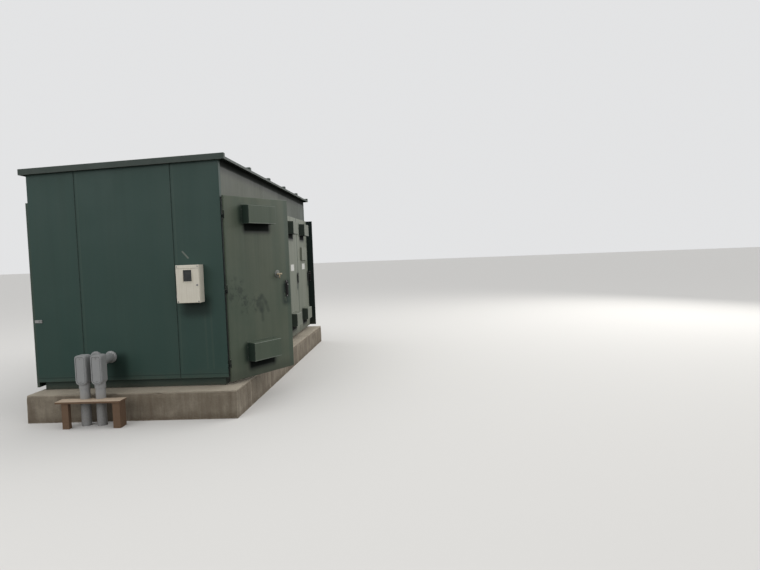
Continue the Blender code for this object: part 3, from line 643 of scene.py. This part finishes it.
def screen_finish():
    """Woven wire screen, dusty, with painted shade between its wires where the openings are."""
    material, tree, shader, place = start_finish("vent_screen_wire")
    turns = [times(tree, part_of(tree, place, axis), math.tau / WIRE_PITCH) for axis in (1, 2)]
    wires = [remap(tree, number(tree, "SINE", turn), 0.2, 0.8) for turn in turns]
    weave = number(tree, "MAXIMUM", *wires)
    colour = lay_on(tree, blend(tree, weave, INSIDE_SHADE, WIRE), (blotches(tree, place, 12.0), 0.3, DUST))
    end_finish(tree, shader, colour, remap(tree, weave, 0.0, 1.0, 0.9, 0.5), times(tree, weave, 0.0008))
    return material


def door_turn(name):
    """Where a door's hinge line stands, and how far the door is turned at rest."""
    pivot = HINGES[name]["pos_m"]
    return (pivot[0], pivot[1], 0.0), DOOR_TURNS[name]


def make_finishes():
    made = {
        "front": paint_finish("front_wall_paint", WALL_GREEN, WALL_FADED_AND_HIGHLIGHT, 0.35, 0.12, 0.25,
                              marks=front_wall_marks),
        "wall": paint_finish("wall_paint", WALL_GREEN, WALL_FADED_AND_HIGHLIGHT, 0.8, 0.4),
        "side": paint_finish("side_wall_paint", SHEEN_SIDE_GREEN, SHEEN_SIDE_FADED, 0.8, 0.2, marks=side_wall_marks),
        # Doorway posts painted near black: painted shade of the gaps round the side doors
        "doorway": paint_finish("doorway_paint", DEEP_SHADE_GREEN, SHADE_GREEN, 0.8, 0.2),
        "cover": paint_finish("rear_cover_paint", WALL_GREEN, DOOR_FADED, 0.6, 0.45),
        "trim": paint_finish("roof_trim_paint", TRIM_GREEN, TRIM_FADED, 0.5, 0.15, waves=0.4, wear=0.5),
        "roof": paint_finish("roof_deck_paint", TRIM_GREEN, TRIM_FADED, 0.9, 0.1, wear=0.6, rust=0.5),
        "base": paint_finish("base_paint", BASE_GREEN, WALL_FADED_AND_HIGHLIGHT, 0.3, 0.2, 0.09),
        # End door painted near black: painted shade of the door standing open at the far end
        "end_door": paint_finish("end_door_paint", DEEP_SHADE_GREEN, SHADE_GREEN, 0.7, turn=door_turn("end_door")),
        "concrete": concrete_finish(),
        "pvc": pvc_finish(),
        "enamel": enamel_finish(),
        "timber": timber_finish(),
        "strap": metal_finish("strap_steel", STEEL_GREY, 0.45),
        "zinc": metal_finish("zinc_fixings", ZINC),
        "bright": metal_finish("bright_latch_metal", BRIGHT, 0.4, 0.3),
        "brass": metal_finish("latch_brass", BRASS, 0.45, 0.3),
        "plate": metal_finish("bare_plate", PLATE, 0.5, 0.15, 0.15),
        "black": black_finish("handle_coating", 0.6, 0.1),
        "rubber": black_finish("door_seal_rubber", 0.7, 0.1),
        "glass": glass_finish(),
        "screen": screen_finish(),
    }
    for name in SIDE_DOORS:
        first = name == "door_1"
        # Doors 2 to 5 take the lighter copy of the door paint, with its painted sheen
        paint, faded = (DOOR_GREEN, DOOR_FADED) if first else (SHEEN_DOOR_GREEN, SHEEN_DOOR_FADED)
        turn = door_turn(name)
        made[name] = paint_finish(name + "_paint", paint, faded, 1.3, 0.15, turn=turn,
                                  marks=first_door_marks if first else door_marks)
        made[name + "_hood"] = paint_finish(name + "_hood_paint", paint, faded, 0.7, 0.2, turn=turn,
                                            waves=0.3, wear=0.5, wear_radius=0.005, marks=hood_marks)
    return made


def dress_all():
    """Give every CAD node its finish: by its door, or by how its name begins."""
    beginnings = {
        "base_": "base", "floor_plate": "base", "front_gable": "trim", "back_gable": "trim", "roof": "roof",
        "front_": "front", "right_post": "doorway", "right_": "side", "rear_cover": "cover",
        "rear_hasp": "strap", "conduit": "pvc", "concrete": "concrete", "loose_board": "timber",
        "meter_box_window": "glass", "meter_box": "enamel"}
    for name in nodes:
        door = next((one for one in (*SIDE_DOORS, "end_door") if name.startswith(one)), None)
        if name.endswith("handle"):
            finish = "black"
        elif name.endswith("hood"):
            finish = door + "_hood"
        else:
            finish = door or next((beginnings[word] for word in beginnings if name.startswith(word)), "wall")
        slots = nodes[name].material_slots
        for slot in slots:
            slot.material = finishes[finish]
        if not slots:
            nodes[name].data.materials.append(finishes[finish])


# Shapes of the fittings

def round_off(bm, parts, radius, segments, affect="EDGES"):
    bmesh.ops.bevel(bm, geom=parts, offset=radius, segments=segments, profile=0.5, affect=affect, material=-1)


def add_block(bm, low, high, rounding=0.0, segments=1):
    """A box, with all its edges rounded if a rounding is given."""
    low, high = Vector(low), Vector(high)
    place = Matrix.Translation((low + high) / 2) @ Matrix.Diagonal((*(high - low), 1.0))
    verts = bmesh.ops.create_cube(bm, size=1.0, matrix=place)["verts"]
    if rounding:
        edges = list(dict.fromkeys(edge for vert in verts for edge in vert.link_edges))
        round_off(bm, edges, rounding, segments)


def strips_round(left, foot, right, head, wide):
    """Four strips along the inside of a rectangle, each as its two corners."""
    return (((left, foot), (right, foot + wide)), ((left, head - wide), (right, head)),
            ((left, foot + wide), (left + wide, head - wide)),
            ((right - wide, foot + wide), (right, head - wide)))


def add_disc(bm, base, way, radius, depth, sides=16, top_share=1.0):
    """A round or many-sided disc that rises from base along way, narrower at its top by top_share."""
    turn = Vector(way).to_track_quat("Z", "Y").to_matrix().to_4x4()
    place = Matrix.Translation(Vector(base) + Vector(way) * depth / 2) @ turn
    bmesh.ops.create_cone(bm, cap_ends=True, segments=sides, radius1=radius, radius2=radius * top_share,
                          depth=depth, matrix=place)


def add_screw(bm, base, way, radius=0.005):
    """A domed screw head on its washer."""
    base, way = Vector(base), Vector(way)
    add_disc(bm, base, way, radius * 1.7, radius * 0.25, 14)
    add_disc(bm, base + way * radius * 0.25, way, radius, radius * 0.45, 12, 0.85)
    add_disc(bm, base + way * radius * 0.7, way, radius * 0.85, radius * 0.25, 12, 0.5)


def add_bolt(bm, base, way, radius=0.008):
    """A hexagon bolt head on its washer."""
    base, way = Vector(base), Vector(way)
    add_disc(bm, base, way, radius * 1.6, radius * 0.25, 16)
    add_disc(bm, base + way * radius * 0.25, way, radius, radius * 0.7, 6, 0.97)


def add_turned(bm, profile, base, way, steps=40):
    """A shape turned about a line through base; profile is a closed loop of radius and height pairs."""
    base, way = Vector(base), Vector(way)
    turn = Matrix.Translation(base) @ way.to_track_quat("Z", "Y").to_matrix().to_4x4()
    verts = [bm.verts.new(turn @ Vector((radius, 0.0, height))) for radius, height in profile]
    edges = [bm.edges.new((verts[index - 1], verts[index])) for index in range(len(verts))]
    bmesh.ops.spin(bm, geom=verts + edges, cent=base, axis=way, angle=math.tau, steps=steps, use_merge=True)
    bmesh.ops.remove_doubles(bm, verts=bm.verts, dist=0.00001)


def add_object(name, data):
    made = bpy.data.objects.new(name, data)
    bpy.context.scene.collection.objects.link(made)
    return made


def add_piece(name, bm, finish, door=None):
    """Make a shaped mesh a piece of the housing, or of a door: then it takes the door's name and place."""
    if door:
        name = f"{door}_{name}"
        location, angle = door_turn(door)
        place = Matrix.Translation(location) @ Matrix.Rotation(angle, 4, "Z")
        bmesh.ops.transform(bm, matrix=place, verts=bm.verts)
    bmesh.ops.recalc_face_normals(bm, faces=bm.faces)
    mesh = bpy.data.meshes.new(name)
    bm.to_mesh(mesh)
    bm.free()
    mesh.shade_smooth()
    mesh.set_sharp_from_angle(angle=math.radians(32.0))
    mesh.materials.append(finishes[finish])
    piece = add_object(name, mesh)
    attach(piece, door or "housing")
    return piece


def add_hood_flanges(door):
    """Flanges that hold the rain hoods to a door, with their screws."""
    flange, face, radius = 0.016, 0.0023, 0.004
    strips, screws = bmesh.new(), bmesh.new()
    for low, high in HOOD_BOXES.values():
        add_block(strips, (SEAT, low.y - flange, high.z + SEAT),
                  (face, high.y + flange, high.z + flange), FOLD)
        for side in (low.y - flange, high.y + SEAT):
            add_block(strips, (SEAT, side, low.z), (face, side + flange - SEAT, high.z + SEAT), FOLD)
            for share in (0.2, 0.75):
                add_screw(screws, (face, side + flange / 2, low.z + share * (high.z - low.z)), OUT, radius)
        for share in (0.08, 0.36, 0.64, 0.92):
            add_screw(screws, (face, low.y + share * (high.y - low.y), high.z + flange / 2), OUT, radius)
    add_piece("hood_flanges", strips, door + "_hood", door)
    add_piece("hood_screws", screws, door + "_hood", door)


def add_vent_screens(door):
    """Wire screens inside a door, behind its vent slots, each in a folded frame."""
    screens, rims = bmesh.new(), bmesh.new()
    front = -SHEET - 0.001
    back = front - 0.0012
    rim, proud = 0.014, 0.003
    for low, high in HOOD_BOXES.values():
        near, far, foot, head = low.y + 0.02, high.y - 0.02, low.z + 0.035, high.z - 0.03
        add_block(screens, (back, near, foot), (front, far, head))
        for strip_low, strip_high in strips_round(near, foot, far, head, rim):
            add_block(rims, (back - proud, *strip_low), (back, *strip_high), FOLD)
        for y in (near + rim / 2, (near + far) / 2, far - rim / 2):
            for z in (foot + rim / 2, head - rim / 2):
                add_screw(rims, (back - proud, y, z), TO_LEFT, 0.003)
    add_piece("vent_screens", screens, "screen", door)
    add_piece("vent_screen_frames", rims, "zinc", door)


def add_stiffeners(door, far_edge):
    """Hat-shaped stiffeners across the inside of a door leaf, with their spot welds."""
    bm = bmesh.new()
    back = -SHEET - SEAT
    near, far = 0.03, far_edge - 0.03
    depth, half_hat, flange, lap = 0.016, 0.022, 0.0138, 0.002
    for height in STIFFENER_HEIGHTS:
        z = DECK + height
        add_block(bm, (back - depth, near, z - half_hat), (back, far, z + half_hat), 0.003, 2)
        for foot in (z - 0.036, z + 0.0222):
            add_block(bm, (back - lap, near, foot), (back, far, foot + flange), 0.0005)
            for number_across in range(7):
                y = near + 0.04 + number_across * (far - near - 0.08) / 6
                add_disc(bm, (back - lap, y, foot + flange / 2), TO_LEFT, 0.0045, 0.0008, 12, 0.9)
    add_piece("stiffeners", bm, door, door)


def add_handle_details(door, shift=0.0):
    """Screws of a latch handle, and the pivot cap of its lever with a slot."""
    middle = HANDLE_MIDDLE.y + shift
    plate, cap = HANDLE_LOW.x + 0.005, HANDLE_HIGH.x
    bm = bmesh.new()
    for height in (HANDLE_HIGH.z - 0.012, HANDLE_LOW.z + 0.012):
        add_screw(bm, (plate, middle, height), OUT, 0.0045)
    pivot = HANDLE_MIDDLE.z + 0.05
    add_disc(bm, (cap, middle, pivot), OUT, 0.008, 0.002, 20, 0.9)
    add_block(bm, (cap + 0.0019, middle - 0.0008, pivot - 0.005),
              (cap + 0.0024, middle + 0.0008, pivot + 0.005))
    add_piece("handle_screws", bm, "zinc", door)


def add_hinge_pins(door):
    """Domed ends of the hinge pins, over each upper barrel."""
    bm = bmesh.new()
    for share in HINGE_SHARES:
        top = DECK + HINGE_FOOT + share * HINGE_SPAN + HINGE_BARREL
        add_disc(bm, (0.0, 0.0, top), UP, 0.0042, 0.002, 16, 0.9)
        add_disc(bm, (0.0, 0.0, top + 0.002), UP, 0.0038, 0.0012, 16, 0.5)
    add_piece("hinge_pins", bm, "zinc", door)


def add_latch():
    """Round rose with a T handle on the first door."""
    y, z = 0.82, DECK + 1.185
    rose, bar = bmesh.new(), bmesh.new()
    add_turned(rose, [(0.0, SEAT), (0.046, SEAT), (0.046, 0.004), (0.04, 0.0085), (0.024, 0.0095),
                      (0.02, 0.014), (0.013, 0.017), (0.0, 0.017)], (0.0, y, z), OUT)
    add_disc(bar, (0.016, y, z), OUT, 0.011, 0.018, 20, 0.9)
    add_block(bar, (0.03, y - 0.045, z - 0.011), (0.044, y + 0.045, z + 0.008), 0.005, 3)
    add_block(bar, (0.031, y - 0.01, z - 0.048), (0.042, y + 0.01, z - 0.006), 0.004, 3)
    add_piece("latch_rose", rose, "bright", "door_1")
    add_piece("latch_bar", bar, "brass", "door_1")


def add_bare_plate(door):
    """An unmarked plate with its four rivets."""
    y, z, half_width, half_height, face = 0.55, DECK + 1.2, 0.14, 0.054, 0.0018
    plate, rivets = bmesh.new(), bmesh.new()
    add_block(plate, (SEAT, y - half_width, z - half_height), (face, y + half_width, z + half_height), FOLD)
    for side in (-1, 1):
        for level in (-1, 1):
            place = (face, y + side * (half_width - 0.012), z + level * (half_height - 0.011))
            add_disc(rivets, place, OUT, 0.0035, 0.0012, 12, 0.6)
    add_piece("bare_plate", plate, "plate", door)
    add_piece("bare_plate_rivets", rivets, "zinc", door)


def add_door_seals():
    """Rubber strips on the frame round the doorways, which the doors close on."""
    bm = bmesh.new()
    seat, proud, wide, rounding = RIGHT_X + SEAT, RIGHT_X + 0.0044, 0.009, 0.0015
    foot, head = WALL_FOOT + 0.01, DOORWAY_HEAD + 0.02
    for bay in range(len(SIDE_DOORS)):
        near = FRONT_Y + bay * BAY + 0.0155
        far = near + BAY - 0.04
        for y in (near, far):
            add_block(bm, (seat, y, foot), (proud, y + wide, head), rounding, 2)
        add_block(bm, (seat, near + wide, head - wide), (proud, far, head), rounding, 2)
    add_piece("side_door_seals", bm, "rubber")


def cover_rim(x, face_y, inset, wide, proud, rounding):
    """Raised rim on the cover of an access fitting, set in from its edge and rounder at its lower end."""
    bm = bmesh.new()
    foot, head = DECK + COVER_FOOT, DECK + COVER_HEAD
    half, low, high = COVER_HALF - inset, foot + inset, head - inset
    corners = ((-half, low), (half, low), (half, high), (-half, high))
    bm.faces.new([bm.verts.new((x + dx, face_y, z)) for dx, z in corners])
    for lower, radius in ((True, 0.038), (False, 0.024)):
        rounded = [vert for vert in bm.verts if (vert.co.z < (foot + head) / 2) == lower]
        round_off(bm, rounded, radius - inset, 6, "VERTICES")
    rim = bmesh.ops.inset_region(bm, faces=bm.faces[:], thickness=wide, use_boundary=True,
                                 use_even_offset=True)["faces"]
    bmesh.ops.delete(bm, geom=[face for face in bm.faces if face not in rim], context="FACES_ONLY")
    raised = bmesh.ops.extrude_face_region(bm, geom=bm.faces[:])["geom"]
    moved = [item for item in raised if isinstance(item, bmesh.types.BMVert)]
    bmesh.ops.translate(bm, verts=moved, vec=(0.0, -proud, 0.0))
    upper = [edge for edge in bm.edges if all(vert.co.y < face_y - proud / 2 for vert in edge.verts)
             and len(edge.link_faces) == 2 and edge.calc_face_angle() > 1.0]
    round_off(bm, upper, rounding, 2)
    return bm


def add_conduit_details():
    """Rims on the access fittings' covers with a dark rubber strip inside each as painted shade, screws, and
    bells where the nipples meet the wall.
    """
    screws, bells = bmesh.new(), bmesh.new()
    for side in ("left", "right"):
        low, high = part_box("conduit_" + side)
        face_y, x = low.y - 0.0002, high.x - FITTING_HALF
        # Each rim gets a thin dark rubber strip at its inner foot, painted shade of the rim's edge
        for part, finish, shape in (("rim", "pvc", (0.0, 0.006, 0.003, 0.0012)),
                                    ("shade_strip", "rubber", (0.0062, 0.0025, 0.001, 0.0003))):
            add_piece(f"conduit_{side}_cover_{part}", cover_rim(x, face_y, *shape), finish)
        for height in (COVER_HEAD - 0.023, COVER_FOOT + 0.025):
            add_screw(screws, (x, face_y, DECK + height), TO_FRONT, 0.0048)
        wall_end = (x - NIPPLE_SKEW, FRONT_Y - 0.0002, DECK + NIPPLE_HEIGHT)
        add_turned(bells, [(0.0505, 0.0), (0.066, 0.0), (0.066, 0.006), (0.0615, 0.016), (0.0585, 0.024),
                           (0.0505, 0.026)], wall_end, TO_FRONT)
    for vert in bells.verts:
        vert.co.x += (FRONT_Y - vert.co.y) * NIPPLE_SKEW / NIPPLE_RUN
    add_piece("conduit_cover_screws", screws, "zinc")
    add_piece("conduit_bells", bells, "pvc")


def add_meter_box_details():
    """Window frame, cover lip, screws, hinges and a catch on the meter box."""
    low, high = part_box("meter_box_cover")
    pane_low, pane_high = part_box("meter_box_window")
    lap, wide, proud = 0.0077, 0.009, 0.004
    face, inset = low.y, 0.004
    trim, fixings, dark = bmesh.new(), bmesh.new(), bmesh.new()
    grow = wide - lap
    for strip_low, strip_high in strips_round(
            pane_low.x - grow, pane_low.z - grow, pane_high.x + grow, pane_high.z + grow, wide):
        add_block(trim, (strip_low[0], face - proud, strip_low[1]),
                  (strip_high[0], face + SEAT, strip_high[1]), 0.0012, 2)
    lip = high.z - 0.035
    add_block(trim, (low.x + inset, face - 0.0028, lip), (high.x - inset, face + SEAT, lip + 0.0017), 0.0005)
    add_block(dark, (low.x + inset, face - 0.0006, lip - 0.0018), (high.x - inset, face + SEAT, lip))
    for x in (low.x + 0.014, high.x - 0.014):
        for z in (low.z + 0.014, high.z - 0.016):
            add_screw(fixings, (x, face, z), TO_FRONT, 0.0045)
    for z in (low.z + 0.07, high.z - 0.07):
        add_disc(fixings, (low.x - inset, high.y, z - 0.02), UP, 0.0045, 0.04, 14)
        add_block(fixings, (low.x - 0.0045, high.y, z - 0.018), (low.x, high.y + 0.018, z + 0.018), 0.0008)
    catch_x, catch_z = high.x - 0.024, low.z + 0.19
    add_turned(fixings, [(0.0, 0.0), (0.011, 0.0), (0.011, 0.003), (0.0085, 0.0055), (0.0, 0.0055)],
               (catch_x, face, catch_z), TO_FRONT, 28)
    add_block(dark, (catch_x - 0.0015, face - 0.0062, catch_z - 0.007),
              (catch_x + 0.0015, face - 0.005, catch_z + 0.007))
    add_piece("meter_box_trim", trim, "enamel")
    add_piece("meter_box_fixings", fixings, "zinc")
    add_piece("meter_box_joints", dark, "rubber")


def add_wall_fixings():
    """Bolts of the rear covers and the strap, and the screws along the roof's seam caps."""
    covers, strap, roof = bmesh.new(), bmesh.new(), bmesh.new()
    for bay in range(1, len(SIDE_DOORS) + 1):
        low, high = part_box(f"rear_cover_{bay}")
        for y in (low.y + 0.03, high.y - 0.03):
            for share in (0.02, 0.18, 0.34, 0.5, 0.66, 0.82, 0.98):
                add_bolt(covers, (low.x, y, low.z + share * (high.z - low.z)), TO_LEFT)
        for share in (0.27, 0.5, 0.73):
            for z in (low.z + 0.03, high.z - 0.03):
                add_bolt(covers, (low.x, low.y + share * (high.y - low.y), z), TO_LEFT)
    low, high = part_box("rear_hasp")
    for x in (low.x + 0.05, high.x - 0.012):
        add_bolt(strap, (x, low.y, (low.z + high.z) / 2), TO_FRONT, 0.006)
    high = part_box("roof_deck")[1]
    up = Vector((-ROOF_SLOPE, 0.0, 1.0)).normalized()
    for bay in range(1, len(SIDE_DOORS)):
        for step in range(9):
            x = LEFT_X + 0.02 + step * 0.25
            for side in (-0.05, 0.05):
                place = (x, FRONT_Y + bay * BAY + side, high.z - SEAM_CAP - (high.x - x) * ROOF_SLOPE)
                add_screw(roof, place, up, 0.006)
    add_piece("rear_cover_bolts", covers, "zinc")
    add_piece("rear_hasp_bolts", strap, "zinc")
    add_piece("roof_screws", roof, "zinc")


def add_board_nails():
    nails = bmesh.new()
    low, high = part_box("loose_board")
    for x in (low.x + 0.09, high.x - 0.05):
        for y in (low.y + 0.03, low.y + 0.12):
            add_disc(nails, (x, y, high.z - 0.0002), UP, 0.0045, 0.001, 12, 0.9)
    add_piece("board_nails", nails, "zinc")


def add_pad_skin():
    """The cast pad, with chipped edges, uneven faces and joints between its forms."""
    bm = bmesh.new()
    add_block(bm, PAD_LOW, PAD_HIGH)
    for vert in bm.verts:
        if vert.co.x > 0.0 and vert.co.y < 0.0:
            vert.co.x -= PAD_SPLAY
    for axis, cuts in ((0, 74), (1, 190), (2, 12)):
        edges = [edge for edge in bm.edges if abs((edge.verts[0].co - edge.verts[1].co)[axis]) > 0.2]
        bmesh.ops.subdivide_edges(bm, edges=edges, cuts=cuts, use_grid_fill=True)
    bm.normal_update()
    under, edge_band, joint_half = 0.06, 0.03, 0.02
    for vert in bm.verts:
        x, y, z = vert.co
        right = PAD_HIGH.x - PAD_SPLAY * (PAD_HIGH.y - y) / (PAD_HIGH.y - PAD_LOW.y)
        near = min(y - PAD_LOW.y, PAD_HIGH.y - y, x - PAD_LOW.x, right - x)
        under_house = abs(x) < RIGHT_X - under and FRONT_Y + under < y < BACK_Y - under
        if z < 0.001 or under_house:
            continue
        sink = 0.0018 * (1.0 + noise.fractal(vert.co * 9.0, 0.8, 2.0, 4))
        if near < edge_band and DECK - z < edge_band:
            sink += 0.005 + 0.03 * max(0.0, noise.fractal(vert.co * 5.0, 0.9, 2.0, 3) - 0.12)
        from_joint = (y - PAD_LOW.y - FORM_START) % FORM_LENGTH
        if right - x < 0.001 and min(from_joint, FORM_LENGTH - from_joint) < joint_half:
            sink += 0.007
        vert.co -= vert.normal * sink
    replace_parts(add_piece("concrete_pad_skin", bm, "concrete"), "concrete_pad")


def add_fittings():
    for door in SIDE_DOORS:
        add_hood_flanges(door)
        add_vent_screens(door)
        add_stiffeners(door, LEAF_HIGH.y)
        add_handle_details(door)
        add_hinge_pins(door)
    add_stiffeners("end_door", END_DOOR_FAR)
    add_handle_details("end_door", END_DOOR_FAR - LEAF_HIGH.y)
    add_hinge_pins("end_door")
    add_latch()
    add_bare_plate("door_4")
    add_bare_plate("door_5")
    add_door_seals()
    add_conduit_details()
    add_meter_box_details()
    add_wall_fixings()
    add_board_nails()
    add_pad_skin()


# Setting: floor, light and camera

def add_floor():
    """A plain pale floor that shows its own colour to the camera and bounces little light."""
    bm = bmesh.new()
    bmesh.ops.create_grid(bm, x_segments=1, y_segments=1, size=150.0)
    mesh = bpy.data.meshes.new("floor")
    bm.to_mesh(mesh)
    bm.free()
    floor = add_object("floor", mesh)
    material, tree, shader, _ = start_finish("floor_finish")
    seen = put(tree, "LightPath").outputs["Is Camera Ray"]
    feed(tree, shader.inputs["Base Color"], blend(tree, seen, (0.16, 0.155, 0.145), (0.62, 0.61, 0.59)))
    shader.inputs["Roughness"].default_value = 0.9
    shader.inputs["Specular IOR Level"].default_value = 0.1
    mesh.materials.append(material)


def set_world():
    """Soft light all round, stronger from above and from the right, behind a pale backdrop."""
    world = bpy.data.worlds.new("studio")
    bpy.context.scene.world = world
    world.use_nodes = True
    tree = world.node_tree
    background = tree.nodes["Background"]
    path = put(tree, "LightPath").outputs
    shown = plus(tree, path["Is Camera Ray"], path["Is Glossy Ray"])
    shown = plus(tree, shown, path["Is Transmission Ray"], clamp=True)
    way = put(tree, "TexCoord").outputs["Generated"]
    strength = times(tree, remap(tree, part_of(tree, way, 2), -0.1, 0.9, 0.88, 0.98),
                     remap(tree, part_of(tree, way, 0), -1.0, 1.0, 0.85, 1.1))
    lit = put(tree, "Mix", {0: shown, 2: strength, 3: 0.78}, data_type="FLOAT").outputs[0]
    feed(tree, background.inputs["Strength"], lit)
    background.inputs["Color"].default_value = (0.985, 0.99, 1.0, 1.0)


def add_softbox(name, place, aim, size, watts, colour=(1.0, 1.0, 1.0)):
    lamp = bpy.data.lights.new(name, "AREA")
    lamp.shape = "RECTANGLE"
    lamp.size, lamp.size_y = size
    lamp.energy = watts
    lamp.color = colour
    box = add_object(name, lamp)
    box.location = place
    box.rotation_euler = (Vector(aim) - Vector(place)).to_track_quat("-Z", "Y").to_euler()


def add_light():
    add_softbox("right_softbox", (11.0, 6.0, 6.0), (0.5, 0.5, 1.0), (9.0, 6.0), 550.0, (1.0, 0.985, 0.95))
    add_softbox("top_softbox", (0.5, 0.0, 10.0), (0.0, 0.0, 0.0), (10.0, 10.0), 250.0)
    add_softbox("front_softbox", (-5.0, -13.0, 6.0), (0.0, -2.7, 1.0), (8.0, 6.0), 290.0)


def set_camera():
    lens = bpy.data.cameras.new("camera")
    lens.lens = CAMERA_LENS
    lens.sensor_width = CAMERA_SENSOR
    lens.sensor_fit = "HORIZONTAL"
    camera = add_object("camera", lens)
    level = Matrix.Rotation(math.radians(90.0), 4, "X")
    aim = Matrix.Rotation(CAMERA_YAW, 4, "Z") @ Matrix.Rotation(-CAMERA_PITCH, 4, "X")
    roll = Matrix.Rotation(CAMERA_ROLL, 4, "Y")
    camera.matrix_world = Matrix.Translation(CAMERA_PLACE) @ aim @ roll @ level
    bpy.context.scene.camera = camera


finishes = make_finishes()
dress_all()
add_fittings()
add_floor()
set_world()
add_light()
set_camera()
bpy.context.scene.view_settings.view_transform = "Standard"
